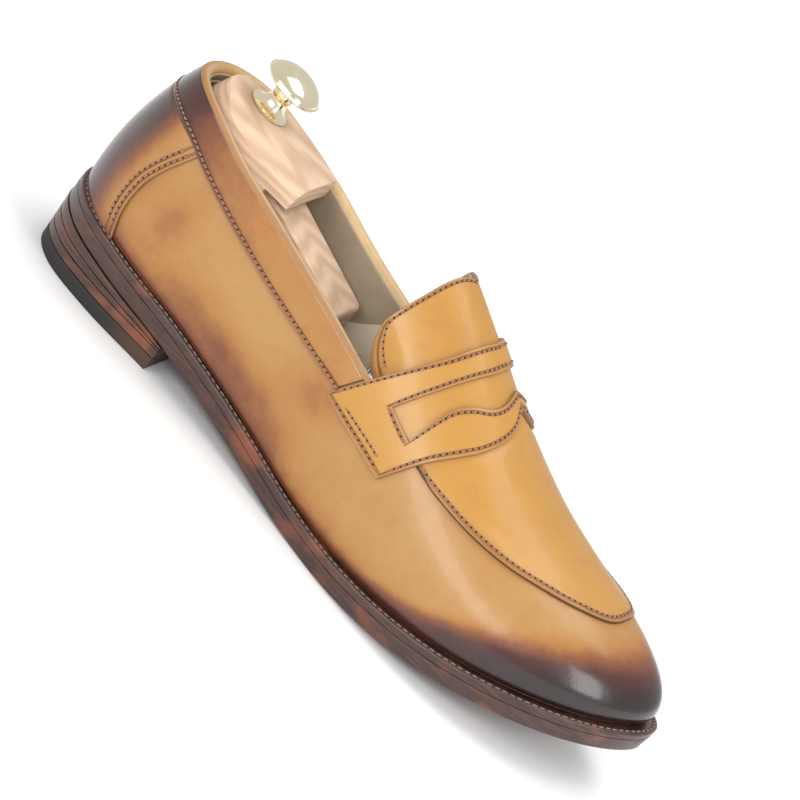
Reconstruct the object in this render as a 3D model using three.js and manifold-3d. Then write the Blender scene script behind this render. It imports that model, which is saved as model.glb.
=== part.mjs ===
// Right-foot penny loafer with a wooden shoe tree. Millimetres, +X to the toe, -Y to the outer side, +Z up.
import * as THREE from 'three';
import { mergeVertices } from 'three/addons/utils/BufferGeometryUtils.js';
import Module from 'manifold-3d';

const wasm = await Module();
wasm.setup();

// Overall sizes
const SOLE_LENGTH = 300;
const SOLE_WIDTH = 96;
const HEEL_HEIGHT = 21;
const TOE_SPRING = 25;
const RIDGE_HEIGHT = 93; // top of the instep above the floor, under the middle of the strap

// Leather and sole thicknesses
const GAP = 0.3;
const OUTSOLE = 6;
const WELT = 3.4;
const WELT_REVEAL = 4.5; // welt showing outside the upper at the forepart
const WAIST_REVEAL = 3;
const FEATHER_WIDTH = 8.5; // how far the welt strip reaches in under the upper
const INSOLE = 2.5;
const SOCK = 1;
const SHANK = 1.2;
const UPPER = 1.4;
const OVERLAY = 1.3;
const REINFORCEMENT = 1;
const LINING = 1;
const BINDING = 1.6;
const STRAP_THICKNESS = 1.6;

// Heel
const HEEL_LENGTH = 72;
const HEEL_TAPER = 2.5;
const TOP_LIFT = 6;
const LIFT = 3.6;
const NAIL_RADIUS = 1.1;
const NAIL_TIP = 7.5;

// Shoe tree
const TREE_EASE = 1.6; // between the wooden blocks and the lining
const BLOCK_BASE = 36;
const BLOCK_TOP = 90.5;
const BLOCK_SLOPE = 0.12;
const BLOCK_FRONT = 70;
const LEDGE = 8.5;
const ARM_WIDTH = 24;
const ROD_RADIUS = 3.5;
const ROD_HEIGHT = 50;
const ROD_CLEARANCE = 0.4;
const SLIDE_TRAVEL = 12;
const CORE_HALF = 7;
const SPREAD_TRAVEL = 3;
const PIN_RADIUS = 2.5;
const SPRING_WIRE = 1.3;
const SPRING_TURNS = 9;
const KNOB_RADIUS = 12.5;
const KNOB_HEIGHT = 14;
const PLATE_RADIUS = 8.5;
const STUD_RADIUS = 2.5;
const STUD_DEPTH = 12;

// Stations along the shoe and points over the arch of the last
const STATIONS = 30;
const ARCH = 14;

// Scales from the drawn last to the overall sizes
const DRAWN_LENGTH = 300;
const DRAWN_WIDTH = 96;
const along = (x) => x * SOLE_LENGTH / DRAWN_LENGTH;
const across = (y) => y * SOLE_WIDTH / DRAWN_WIDTH;
const upward = (z) => z * RIDGE_HEIGHT / 93;

const SOLE_POINTS = [
  [0, 0], [4, -15.5], [16, -27], [40, -32], [75, -31.5], [112, -33.5], [150, -41], [186, -48.5], [216, -50.5],
  [245, -45.5], [270, -34.5], [288, -20], [298, -4], [299.5, 8], [294, 20], [281, 31], [258, 40.5], [232, 45.5],
  [203, 45.5], [170, 37], [135, 28], [100, 26], [66, 31], [38, 32], [16, 27], [4, 16],
].map(([x, y]) => [along(x), across(y)]);

// Cubic curve through points given as [x, value]
function smooth(points) {
  const slope = points.map((point, i) => {
    const before = points[Math.max(i - 1, 0)];
    const after = points[Math.min(i + 1, points.length - 1)];
    return (after[1] - before[1]) / (after[0] - before[0]);
  });
  return (x) => {
    let i = points.findIndex((point) => point[0] > x) - 1;
    if (i < 0) i = x < points[0][0] ? 0 : points.length - 2;
    const width = points[i + 1][0] - points[i][0];
    const u = THREE.MathUtils.clamp((x - points[i][0]) / width, 0, 1);
    const a = (1 + 2 * u) * (1 - u) ** 2 * points[i][1] + u * (1 - u) ** 2 * width * slope[i];
    const b = u * u * (3 - 2 * u) * points[i + 1][1] + u * u * (u - 1) * width * slope[i + 1];
    return a + b;
  };
}

const soleBottom = smooth([
  [0, HEEL_HEIGHT], [35, HEEL_HEIGHT * 0.8], [68, HEEL_HEIGHT * 0.62], [95, HEEL_HEIGHT * 0.42],
  [125, HEEL_HEIGHT * 0.19], [148, 1], [168, 0], [190, 1], [205, TOE_SPRING * 0.11], [230, TOE_SPRING * 0.27],
  [255, TOE_SPRING * 0.49], [278, TOE_SPRING * 0.73], [300, TOE_SPRING],
].map(([x, z]) => [along(x), z]));
const ridgeHeight = smooth([
  [0, 136], [40, 137], [80, 131], [110, 120], [140, 106], [165, 93], [190, 79], [215, 68.5], [240, 62],
  [260, 59.2], [280, 56.8], [300, 55.8],
].map(([x, z]) => [along(x), upward(z)]));
const reveal = smooth([
  [0, WAIST_REVEAL], [130, WAIST_REVEAL], [190, WELT_REVEAL], [300, WELT_REVEAL],
].map(([x, w]) => [along(x), w]));
const fullness = smooth([[0, 2.4], [30, 2.35], [90, 2.15], [230, 2.15], [270, 2.4], [300, 2.4]].map(
  ([x, n]) => [along(x), n]));
const bulge = smooth([[0, 4.5], [60, 4], [130, 4.8], [190, 4], [230, 2], [300, 1.2]].map(([x, b]) => [along(x), b]));
const SPINE_BACK = [along(62), across(4)];
const SPINE_FRONT = [along(250), across(5)];

const soleCurve = new THREE.CatmullRomCurve3(
  SOLE_POINTS.map(([x, y]) => new THREE.Vector3(x, y, 0)), true, 'centripetal');
soleCurve.arcLengthDivisions = 1200;
soleCurve.updateArcLengths();

function extremeShare(sign) {
  let best = 0;
  for (let i = 1; i < 2000; i += 1) {
    if (sign * soleCurve.getPointAt(i / 2000).x > sign * soleCurve.getPointAt(best).x) best = i / 2000;
  }
  return best > 0.9 ? best - 1 : best;
}
const HEEL_SHARE = extremeShare(-1);
const TOE_SHARE = extremeShare(1);
const HEEL_END = soleCurve.getPointAt((HEEL_SHARE + 1) % 1).x;
const TOE_END = soleCurve.getPointAt(TOE_SHARE).x;

// Point of the sole outline, moved in by a distance, at a share of its perimeter
function outlinePoint(share, inset) {
  const s = ((share % 1) + 1) % 1;
  const point = soleCurve.getPointAt(s);
  const tangent = soleCurve.getTangentAt(s);
  return new THREE.Vector2(point.x - tangent.y * inset, point.y + tangent.x * inset);
}

// Share of the perimeter at which the outline reaches x, on the outer (-1) or inner (1) side
const shareCache = new Map();
function shareAt(x, side) {
  const key = `${x.toFixed(5)}:${side}`;
  if (shareCache.has(key)) return shareCache.get(key);
  let low = side < 0 ? HEEL_SHARE : HEEL_SHARE + 1;
  let high = TOE_SHARE;
  for (let i = 0; i < 36; i += 1) {
    const middle = (low + high) / 2;
    if (soleCurve.getPointAt(((middle % 1) + 1) % 1).x < x) low = middle;
    else high = middle;
  }
  shareCache.set(key, (low + high) / 2);
  return (low + high) / 2;
}

const weltTop = (x) => soleBottom(x) + OUTSOLE + WELT + GAP;
const insoleTop = (x) => weltTop(x) + GAP + INSOLE;
const sockTop = (x) => insoleTop(x) + GAP + SOCK;

// Outer surface of the vamp and quarters: share of the perimeter, height from 0 at the welt to 1 at the ridge
function lastPoint(share, rise) {
  const s = ((share % 1) + 1) % 1;
  const rim = soleCurve.getPointAt(s);
  const foot = outlinePoint(share, reveal(rim.x));
  const outward = outlinePoint(share, -1).sub(outlinePoint(share, 0));
  const u = rim.x / SOLE_LENGTH;
  const spineX = THREE.MathUtils.lerp(SPINE_BACK[0], SPINE_FRONT[0], u);
  const spineY = THREE.MathUtils.lerp(SPINE_BACK[1], SPINE_FRONT[1], u);
  const angle = rise * Math.PI / 2;
  const power = 2 / fullness(rim.x);
  const reach = Math.max(Math.cos(angle), 0) ** power;
  const lift = Math.sin(angle) ** power;
  const swell = 4 * lift * (1 - lift) ** 2 * bulge(rim.x);
  const x = spineX + (foot.x - spineX) * reach + outward.x * swell;
  const y = spineY + (foot.y - spineY) * reach + outward.y * swell;
  const base = weltTop(rim.x) + GAP;
  return new THREE.Vector3(x, y, base + (ridgeHeight(x) - base) * lift);
}

function lastNormal(share, rise) {
  const low = Math.max(rise - 0.01, 0.001);
  const high = Math.min(rise + 0.01, 0.98);
  const upwards = lastPoint(share, Math.max(high, low + 0.01)).sub(lastPoint(share, Math.min(low, 0.96)));
  const middle = Math.min(rise, 0.97);
  const forwards = lastPoint(share + 0.002, middle).sub(lastPoint(share - 0.002, middle));
  return forwards.cross(upwards).normalize();
}

const stationX = (i) => HEEL_END + (TOE_END - HEEL_END) * (1 - Math.cos(Math.PI * i / STATIONS)) / 2;

// Point of the last at a station, j from the outer welt over the ridge to the inner welt, moved out by a distance
function archPoint(i, j, offset) {
  const side = 2 * j <= ARCH ? -1 : 1;
  const rise = 1 - Math.abs(2 * j / ARCH - 1);
  const outer = shareAt(stationX(i), -1);
  const inner = shareAt(stationX(i), 1);
  const share = side < 0 ? outer : inner;
  const normal = lastNormal(share, rise);
  if (rise > 0.999 || i === 0 || i === STATIONS) {
    normal.copy(lastNormal(outer, rise)).add(lastNormal(inner, rise));
    if (rise > 0.999) normal.y = 0;
    normal.normalize();
  }
  if (rise < 0.001) normal.setZ(0).normalize();
  const point = lastPoint(rise > 0.999 ? outer : share, rise);
  if (i === 0 || i === STATIONS) point.copy(lastPoint(outer, rise));
  return point.addScaledVector(normal, offset);
}

// Closed body from corner points and faces, turned so that its faces point out
function body(points, faces) {
  const geometry = new THREE.BufferGeometry();
  geometry.setAttribute('position', new THREE.Float32BufferAttribute(points.flatMap((p) => [p.x, p.y, p.z]), 3));
  geometry.setIndex(faces.flat());
  return solid(geometry);
}

function solid(geometry) {
  geometry.deleteAttribute('normal');
  geometry.deleteAttribute('uv');
  const merged = mergeVertices(geometry, 1e-4);
  const index = Array.from(merged.index.array);
  const kept = [];
  for (let k = 0; k < index.length; k += 3) {
    const [a, b, c] = index.slice(k, k + 3);
    if (a !== b && b !== c && c !== a) kept.push(a, b, c);
  }
  const place = merged.attributes.position.array;
  const corner = (n) => new THREE.Vector3().fromArray(place, 3 * n);
  let volume = 0;
  for (let k = 0; k < kept.length; k += 3) {
    volume += corner(kept[k]).dot(corner(kept[k + 1]).cross(corner(kept[k + 2])));
  }
  if (volume < 0) kept.reverse();
  const mesh = new wasm.Mesh({
    numProp: 3,
    vertProperties: new Float32Array(place),
    triVerts: new Uint32Array(kept),
  });
  return new wasm.Manifold(mesh);
}

function grid(rows, columns, first, turned) {
  const faces = [];
  for (let i = 0; i < rows; i += 1) {
    for (let j = 0; j < columns; j += 1) {
      const a = first + i * (columns + 1) + j;
      const b = a + columns + 1;
      if (turned) faces.push([a, b, a + 1], [b, b + 1, a + 1]);
      else faces.push([a, a + 1, b], [b, a + 1, b + 1]);
    }
  }
  return faces;
}

// Shell of the whole last between two distances from its surface, open along the welt
function skin(inside, outside) {
  const points = [];
  for (const offset of [outside, inside]) {
    for (let i = 0; i <= STATIONS; i += 1) {
      for (let j = 0; j <= ARCH; j += 1) points.push(archPoint(i, j, offset));
    }
  }
  const row = ARCH + 1;
  const second = (STATIONS + 1) * row;
  const faces = [...grid(STATIONS, ARCH, 0, false), ...grid(STATIONS, ARCH, second, true)];
  for (let i = 0; i < STATIONS; i += 1) {
    const a = i * row;
    faces.push([a, a + row, second + a], [a + row, second + a + row, second + a]);
    const b = a + ARCH;
    faces.push([b, second + b, b + row], [b + row, second + b, second + b + row]);
  }
  return body(points, faces);
}

// Whole inside of the last up to a distance from its surface, flat across its underside
function lastBody(offset) {
  const points = [];
  for (let i = 0; i <= STATIONS; i += 1) {
    for (let j = 0; j <= ARCH; j += 1) points.push(archPoint(i, j, offset));
  }
  const row = ARCH + 1;
  const faces = grid(STATIONS, ARCH, 0, false);
  for (let i = 0; i < STATIONS; i += 1) {
    const a = i * row;
    faces.push([a, a + row, a + ARCH], [a + row, a + row + ARCH, a + ARCH]);
  }
  return body(points, faces);
}

// Layer of the bottom between two heights along x, with insets from the sole outline at its foot and top
function layer(from, to, insetLow, insetHigh, low, high, steps = STATIONS) {
  const points = [];
  for (let i = 0; i <= steps; i += 1) {
    const even = from > HEEL_END ? i / steps : 1 - Math.cos(Math.PI * i / steps / 2);
    const share = from <= HEEL_END && to >= TOE_END ? (1 - Math.cos(Math.PI * i / steps)) / 2 : even;
    const x = Math.min(Math.max(from, HEEL_END), TOE_END) * (1 - share) + Math.min(to, TOE_END) * share;
    for (const [inset, height] of [[insetLow, low], [insetHigh, high]]) {
      const pair = [-1, 1].map((side) => outlinePoint(shareAt(x, side), inset(x)));
      if (x <= HEEL_END || x >= TOE_END) pair[1].copy(pair[0]);
      if (share === 1 && to < TOE_END) pair.forEach((p) => p.setX(to));
      for (const p of pair) points.push(new THREE.Vector3(p.x, p.y, height(p.x)));
    }
  }
  const faces = [];
  for (let i = 0; i < steps; i += 1) {
    const a = 4 * i;
    const b = a + 4;
    faces.push([a, a + 1, b], [b, a + 1, b + 1]);
    faces.push([a + 2, b + 2, a + 3], [b + 2, b + 3, a + 3]);
    faces.push([a, b, a + 2], [b, b + 2, a + 2]);
    faces.push([a + 1, a + 3, b + 1], [b + 1, a + 3, b + 3]);
  }
  const end = 4 * steps;
  faces.push([0, 2, 1], [1, 2, 3], [end, end + 1, end + 2], [end + 1, end + 3, end + 2]);
  return body(points, faces);
}

const HALF_SPACE = 400;
const LAP = 0.05; // by which two joined cutting bodies run into each other

// Prism with its outline drawn in the side view, [x, z] points, from one y to another
function sidePrism(points, fromY = -HALF_SPACE, toY = HALF_SPACE) {
  const shape = new THREE.Shape(points.map(([x, z]) => new THREE.Vector2(x, z)));
  const geometry = new THREE.ExtrudeGeometry(shape, { depth: toY - fromY, bevelEnabled: false, steps: 1 });
  geometry.rotateX(Math.PI / 2);
  geometry.translate(0, toY, 0);
  return solid(geometry);
}

// Prism with its outline drawn in the plan, [x, y] points
function planPrism(points) {
  const shape = new THREE.Shape(points.map(([x, y]) => new THREE.Vector2(x, y)));
  const geometry = new THREE.ExtrudeGeometry(shape, { depth: 2 * HALF_SPACE, bevelEnabled: false, steps: 1 });
  geometry.translate(0, 0, -HALF_SPACE);
  return solid(geometry);
}

function block(fromX, toX, fromY, toY, fromZ, toZ) {
  const geometry = new THREE.BoxGeometry(toX - fromX, toY - fromY, toZ - fromZ);
  geometry.translate((fromX + toX) / 2, (fromY + toY) / 2, (fromZ + toZ) / 2);
  return solid(geometry);
}

// Round bar from one point to another
function bar(radius, start, end, sides = 16) {
  const axis = new THREE.Vector3().subVectors(end, start);
  const geometry = new THREE.CylinderGeometry(radius, radius, axis.length(), sides);
  geometry.applyQuaternion(new THREE.Quaternion().setFromUnitVectors(
    new THREE.Vector3(0, 1, 0), axis.clone().normalize()));
  geometry.translate(...new THREE.Vector3().addVectors(start, end).multiplyScalar(0.5).toArray());
  return solid(geometry);
}

const curvePoints = (points, count) => new THREE.SplineCurve(points.map(([x, y]) => new THREE.Vector2(x, y)))
  .getPoints(count).map((p) => [p.x, p.y]);
const drawn = (points) => points.map(([x, z]) => [along(x), upward(z)]);
const planned = (points) => points.map(([x, y]) => [along(x), across(y)]);
const moved = (points, dx, dz) => points.map(([x, z]) => [x + dx, z + dz]);

// Edge of the mouth and seam of the collar band, in the side view; the inner side stands higher
const INNER_RISE = smooth([[0, 0], [18, 0], [55, 4], [90, 5.5], [150, 6.5]].map(([x, z]) => [along(x), upward(z)]));
const TOPLINE = curvePoints(drawn([
  [-20, 92], [6, 92.4], [16, 92.3], [28, 90.6], [48, 84.8], [69, 79.5], [89, 74.5], [115, 68.4], [150, 60.5],
]), 20);
const COLLAR_SEAM = curvePoints(drawn([
  [-20, 79.6], [6, 80], [14, 80], [26, 78], [40, 73.2], [67, 64.8], [88, 59.6], [109, 55.8], [150, 49.6],
]), 20);

// Space under one of those lines, with the rise of the inner side
function under(line, drop, front = along(190)) {
  const sideShape = (rise) => {
    const raised = line.map(([x, z]) => [x, z + rise(x) - drop]);
    return [...raised, [front, raised[raised.length - 1][1]], [front, -60], [along(-20), -60]];
  };
  const outer = sidePrism(sideShape(() => 0), -HALF_SPACE, SPINE_BACK[1] + LAP);
  const inner = sidePrism(sideShape(INNER_RISE), SPINE_BACK[1], HALF_SPACE);
  return outer.add(inner);
}

const forward = (x) => block(along(x), 2 * SOLE_LENGTH, -HALF_SPACE, HALF_SPACE, -60, 300);
const behind = (x) => block(-SOLE_LENGTH, along(x), -HALF_SPACE, HALF_SPACE, -60, 300);

// Seam of the apron in the plan, from the strap round the toe and back
const APRON_SIDE = [[112, -31], [137, -32.5], [164, -35.5], [187, -37], [204, -36], [222, -31.8], [238.5, -24.5],
  [250, -16], [258, -6.5], [261.5, 4.5], [258.5, 14.5], [250, 22.5], [238.5, 27], [222, 30.5], [204, 32],
  [187, 30.5], [164, 27], [137, 22], [112, 20]];
const APRON_OUTLINE = curvePoints(planned(APRON_SIDE), 44);
const shrunk = (points, by) => {
  const centre = [along(185), across(2)];
  return points.map(([x, y]) => {
    const away = new THREE.Vector2(x - centre[0], y - centre[1]);
    away.setLength(away.length() - by);
    return [centre[0] + away.x, centre[1] + away.y];
  });
};
// Line under the strap where the apron ends and the tongue begins
const TONGUE_SEAM = planned([[142, -45], [144.5, -33], [152, -25], [158, -14], [161.5, 4], [158, 14], [152, 20],
  [144.5, 25], [142, 45]]);
const TONGUE_END = curvePoints(planned([[146, 24], [139, 22], [129.5, 20.7], [127, 19], [128, 17], [134, 12],
  [137, 4], [133.5, -13.5], [127.5, -22.5], [126.5, -25.5], [129, -28], [139, -30], [146, -31.5]]), 30);

// Strap and its cut-out in the side view
const STRAP_REAR = drawn([[128.3, 51.2], [137.8, 65.6], [145, 78], [151.5, 88.9], [157, 96.7], [163, 106]]);
const STRAP_FRONT = drawn([[190, 106], [183, 86.5], [182.5, 83.5], [186, 80], [185.5, 77], [180.5, 69.6],
  [174, 59.9], [164.4, 44.8]]);
const SLOT_OUTLINE = drawn([[151.4, 64.8], [158.6, 78.9], [165.2, 90.8], [169, 99], [181, 99], [176.5, 86.5],
  [174.5, 83.6], [170.5, 81.8], [167, 78], [165, 70], [163.8, 61.8]]);

const COUNTER_SEAM = curvePoints(drawn([[38, 84], [33.4, 73], [28.8, 62.5], [26, 52.3], [26.4, 39.5], [29.6, 29],
  [33.6, 18]]), 16);

const tree = treePlan();

// Places in the wooden shoe tree that its pieces share
function treePlan() {
  const top = (x) => upward(BLOCK_TOP) + (along(BLOCK_FRONT) - x) * BLOCK_SLOPE;
  const armEnd = along(110);
  const coreBack = along(165);
  const knobX = along(34.5);
  return {
    top,
    armEnd,
    coreBack,
    coreFront: along(250),
    rod: [new THREE.Vector3(along(84), 0, upward(ROD_HEIGHT)), new THREE.Vector3(along(228), 0, upward(ROD_HEIGHT))],
    pins: [along(186), along(222)].map((x) => new THREE.Vector3(x, 0, upward(38))),
    pinReach: CORE_HALF + SPREAD_TRAVEL + 1 + 11,
    knob: new THREE.Vector3(knobX, across(6), top(knobX)),
    knobTilt: Math.atan(BLOCK_SLOPE),
    screws: [along(44), along(54)].map((x) => new THREE.Vector3(x, 0, 0)),
  };
}

const parts = new THREE.Group();

function add(name, shape, material) {
  const mesh = shape.getMesh();
  const geometry = new THREE.BufferGeometry();
  geometry.setAttribute('position', new THREE.BufferAttribute(mesh.vertProperties.slice(), 3));
  geometry.setIndex(new THREE.BufferAttribute(mesh.triVerts.slice(), 1));
  geometry.computeVertexNormals();
  const part = new THREE.Mesh(geometry, material);
  part.name = name;
  parts.add(part);
}

const finish = (color, roughness, metalness = 0) => new THREE.MeshStandardMaterial({ color, roughness, metalness });
const TAN_CALF = finish('#b8813f', 0.35);
const DARK_CALF = finish('#7a3f22', 0.35);
const EDGE_CALF = finish('#e0c08c', 0.5);
const LINING_CALF = finish('#a59480', 0.7);
const SOCK_CALF = finish('#e3d0ad', 0.6);
const SOLE_LEATHER = finish('#4a2c20', 0.45);
const RUBBER = finish('#1d1a19', 0.8);
const CORK = finish('#b58a5a', 0.9);
const BOARD = finish('#c9a878', 0.8);
const STEEL = finish('#9a9a9a', 0.35, 1);
const BRASS = finish('#c9b27a', 0.15, 1);
const WOOD = finish('#cbae92', 0.6);

const none = () => 0;
const heelNails = [[14, 0], [28, -14], [28, 14], [50, -14], [50, 14]].map(([x, y]) => [along(x), across(y)]);

function nail([x, y], radius) {
  const top = insoleTop(x);
  return bar(radius, new THREE.Vector3(x, y, NAIL_TIP), new THREE.Vector3(x, y, top), 12);
}

function withNailHoles(shape) {
  return heelNails.reduce((cut, place) => cut.subtract(
    bar(NAIL_RADIUS + GAP, new THREE.Vector3(place[0], place[1], NAIL_TIP - GAP),
      new THREE.Vector3(place[0], place[1], insoleTop(place[0]) + GAP), 12)), shape);
}

// Stack of lifts: flat ones first, then two wedges that share what is left under the sole
function addHeel() {
  const height = (z) => () => z;
  const taper = (x, z) => HEEL_TAPER * (1 - z / soleBottom(x)) + GAP;
  const seat = (x) => soleBottom(x) - GAP;
  const firstTop = TOP_LIFT + GAP + LIFT;
  const middle = (x) => (firstTop + GAP + seat(x)) / 2;
  const lifts = [
    ['top_lift', height(0), height(TOP_LIFT), RUBBER],
    ['heel_lift_1', height(TOP_LIFT + GAP), height(firstTop), SOLE_LEATHER],
    ['heel_lift_2', height(firstTop + GAP), (x) => middle(x) - GAP, SOLE_LEATHER],
    ['heel_lift_3', middle, seat, SOLE_LEATHER],
  ];
  for (const [name, low, high, material] of lifts) {
    const lift = layer(0, along(HEEL_LENGTH), (x) => taper(x, low(x)), (x) => taper(x, high(x)), low, high, 16);
    add(name, withNailHoles(lift), material);
  }
  heelNails.forEach((place, k) => add(`heel_nail_${k + 1}`, nail(place, NAIL_RADIUS), STEEL));
}

// Steel shank, or the open-topped groove that it lies in
function shankBar(grow, height) {
  const from = along(62) - grow;
  const to = along(168) + grow;
  const low = (x) => soleBottom(x) + OUTSOLE + GAP + 1 - grow;
  const strip = layer(from, to, none, none, low, (x) => low(x) + height, 20);
  return strip.intersect(block(0, SOLE_LENGTH, across(-3) - 6 - grow, across(-3) + 6 + grow, -60, 100));
}

function addBottom() {
  const outsoleTop = (x) => soleBottom(x) + OUTSOLE;
  const fillerInset = (x) => reveal(x) + FEATHER_WIDTH + GAP;
  add('outsole', withNailHoles(layer(0, SOLE_LENGTH, none, none, soleBottom, outsoleTop)), SOLE_LEATHER);
  const ring = layer(0, SOLE_LENGTH, none, none, (x) => outsoleTop(x) + GAP, weltTop);
  const hole = layer(0, SOLE_LENGTH, (x) => reveal(x) + FEATHER_WIDTH, (x) => reveal(x) + FEATHER_WIDTH,
    outsoleTop, (x) => weltTop(x) + 1);
  add('welt', ring.subtract(hole), SOLE_LEATHER);
  const filler = layer(0, SOLE_LENGTH, fillerInset, fillerInset, (x) => outsoleTop(x) + GAP, weltTop);
  add('cork_filler', withNailHoles(filler.subtract(shankBar(GAP, WELT + 1))), CORK);
  add('shank', shankBar(0, SHANK), STEEL);
  const insoleInset = (x) => reveal(x) + UPPER + REINFORCEMENT + LINING + 4 * GAP;
  const insole = layer(0, SOLE_LENGTH, insoleInset, insoleInset, (x) => weltTop(x) + GAP, insoleTop);
  add('insole', withNailHoles(insole), BOARD);
  const sockInset = (x) => insoleInset(x) + 1.5;
  add('sock_lining', layer(0, SOLE_LENGTH, sockInset, sockInset, (x) => insoleTop(x) + GAP, sockTop), SOCK_CALF);
}

// Distances of the layers of the upper from the outer surface of the vamp
const REINFORCEMENT_OUT = -UPPER - GAP;
const LINING_OUT = REINFORCEMENT_OUT - REINFORCEMENT - GAP;
const LINING_IN = LINING_OUT - LINING;
const GRIP_OUT = LINING_IN - GAP;
const GRIP_IN = GRIP_OUT - LINING;

function addUpper() {
  const calf = skin(-UPPER, 0);
  const overlay = skin(GAP, GAP + OVERLAY);
  const inner = skin(REINFORCEMENT_OUT - REINFORCEMENT, REINFORCEMENT_OUT);
  const lining = skin(LINING_IN, LINING_OUT);
  const mouth = under(TOPLINE, GAP);
  const apronSpace = planPrism(APRON_OUTLINE);
  const sideSpace = mouth.add(forward(150));
  add('vamp_and_quarters', calf.intersect(sideSpace).subtract(apronSpace), TAN_CALF);
  const seam = TONGUE_SEAM;
  const ahead = planPrism([...seam, [SOLE_LENGTH, across(45)], [SOLE_LENGTH, across(-45)]]);
  const inApron = planPrism(shrunk(APRON_OUTLINE, GAP));
  add('apron', calf.intersect(inApron).intersect(ahead), TAN_CALF);
  const back = planPrism([...moved(seam, -GAP, 0).reverse(), [along(90), across(-45)], [along(90), across(45)]]);
  const tongueOutline = [...TONGUE_END, [along(170), across(-33)], [along(170), across(26)]];
  const instep = block(0, SOLE_LENGTH, -HALF_SPACE, HALF_SPACE, upward(48), HALF_SPACE);
  const tongueSpace = back.intersect(planPrism(tongueOutline)).intersect(inApron).intersect(instep);
  add('tongue', calf.intersect(tongueSpace), TAN_CALF);
  add('tongue_lining', inner.intersect(tongueSpace), LINING_CALF);
  const strapBody = skin(GAP, GAP + STRAP_THICKNESS).intersect(sidePrism([...STRAP_REAR, ...STRAP_FRONT]));
  add('penny_strap', strapBody.subtract(sidePrism(SLOT_OUTLINE)), TAN_CALF);
  const behindStrap = sidePrism([...moved(STRAP_REAR, -GAP, 0), [-20, 106], [-20, -60], [along(128), -60]]);
  const bandSpace = mouth.subtract(under(COLLAR_SEAM, 0)).intersect(behindStrap);
  add('collar_band', overlay.intersect(bandSpace), TAN_CALF);
  const counterSpace = under(COLLAR_SEAM, GAP).intersect(
    sidePrism([...COUNTER_SEAM, [along(-20), -20], [along(-20), upward(84)]]));
  add('counter_cover', overlay.intersect(counterSpace), DARK_CALF);
  const rim = under(TOPLINE, -BINDING).subtract(under(TOPLINE, 0)).intersect(behindStrap);
  const binding = skin(LINING_IN, GAP + OVERLAY).intersect(behind(124)).add(overlay);
  add('topline_binding', binding.intersect(rim), EDGE_CALF);
  add('quarter_lining', lining.intersect(mouth).intersect(behind(150)), LINING_CALF);
  const vampLiningSpace = forward(150).subtract(block(0, along(150) + GAP, -200, 200, -60, 300));
  add('vamp_lining', lining.intersect(vampLiningSpace), SOCK_CALF);
  add('counter_stiffener', inner.intersect(under(TOPLINE, 6)).intersect(behind(62)), BOARD);
  add('toe_puff', inner.intersect(forward(248)), BOARD);
  const gripSpace = under(TOPLINE, 3).subtract(under(TOPLINE, 42)).intersect(behind(42));
  add('heel_grip', skin(GRIP_IN, GRIP_OUT).intersect(gripSpace), LINING_CALF);
}

function armBody(grow) {
  const outline = drawn([[34, 52], [34, 76], [60, 79.5], [108.5, 64.6], [110, 63], [110, 42], [60, 47]]);
  const shape = new THREE.Shape(outline.map(([x, z]) => new THREE.Vector2(x, z)));
  const options = { depth: ARM_WIDTH, bevelEnabled: grow > 0, bevelSize: grow, bevelThickness: grow, bevelSegments: 1 };
  const geometry = new THREE.ExtrudeGeometry(shape, options);
  geometry.rotateX(Math.PI / 2);
  geometry.translate(0, ARM_WIDTH / 2, 0);
  return solid(geometry);
}

function screwBar(place, grow) {
  const low = new THREE.Vector3(place.x, 0, upward(BLOCK_BASE) + 1.5 - grow);
  return bar(1.6 + grow, low, new THREE.Vector3(place.x, 0, upward(70) + grow), 12);
}

const treeInside = lastBody(GRIP_IN - TREE_EASE);
const rodHole = () => bar(ROD_RADIUS + ROD_CLEARANCE, tree.rod[0].clone().setX(tree.rod[0].x - GAP),
  tree.rod[1].clone().setX(tree.rod[1].x + SLIDE_TRAVEL + 2));

function addHeelBlock() {
  const front = along(BLOCK_FRONT);
  const profile = [[-60, BLOCK_BASE], [60, BLOCK_BASE], [60, 60], [32, 84], [26, BLOCK_TOP], [-12, BLOCK_TOP],
    [-27, 81], [-60, 60]];
  const shape = new THREE.Shape(profile.map(([y, z]) => new THREE.Vector2(across(y), upward(z))));
  const geometry = new THREE.ExtrudeGeometry(shape, { depth: front, bevelEnabled: false, steps: 1 });
  geometry.applyMatrix4(new THREE.Matrix4().set(0, 0, 1, 0, 1, 0, 0, 0, 0, 1, -BLOCK_SLOPE, BLOCK_SLOPE * front,
    0, 0, 0, 1));
  const ledgeFloor = tree.top(front) - upward(LEDGE);
  const throat = block(along(59), front + 5, -60, 60, 0, ledgeFloor);
  const crown = solid(geometry).subtract(block(0, front + 5, -60, 60, 0, upward(BLOCK_BASE)));
  const reachable = treeInside.intersect(treeInside.translate([-SLIDE_TRAVEL, 0, 0]));
  const rough = reachable.intersect(crown).subtract(throat).subtract(armBody(GAP));
  const holes = tree.screws.map((place) => screwBar(place, GAP));
  const stud = knobPiece(studShape(GAP));
  add('tree_heel_block', [...holes, stud].reduce((cut, hole) => cut.subtract(hole), rough), WOOD);
}

// Turns a shape drawn round its own z axis onto the top of the heel block
function knobPiece(geometry) {
  geometry.rotateX(Math.PI / 2);
  geometry.rotateY(tree.knobTilt);
  geometry.translate(tree.knob.x, tree.knob.y, tree.knob.z);
  return solid(geometry);
}

function studShape(grow) {
  const length = STUD_DEPTH + KNOB_HEIGHT - 2;
  const geometry = new THREE.CylinderGeometry(STUD_RADIUS + grow, STUD_RADIUS + grow, length + 2 * grow, 16);
  geometry.translate(0, length / 2 - STUD_DEPTH, 0);
  return geometry;
}

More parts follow.
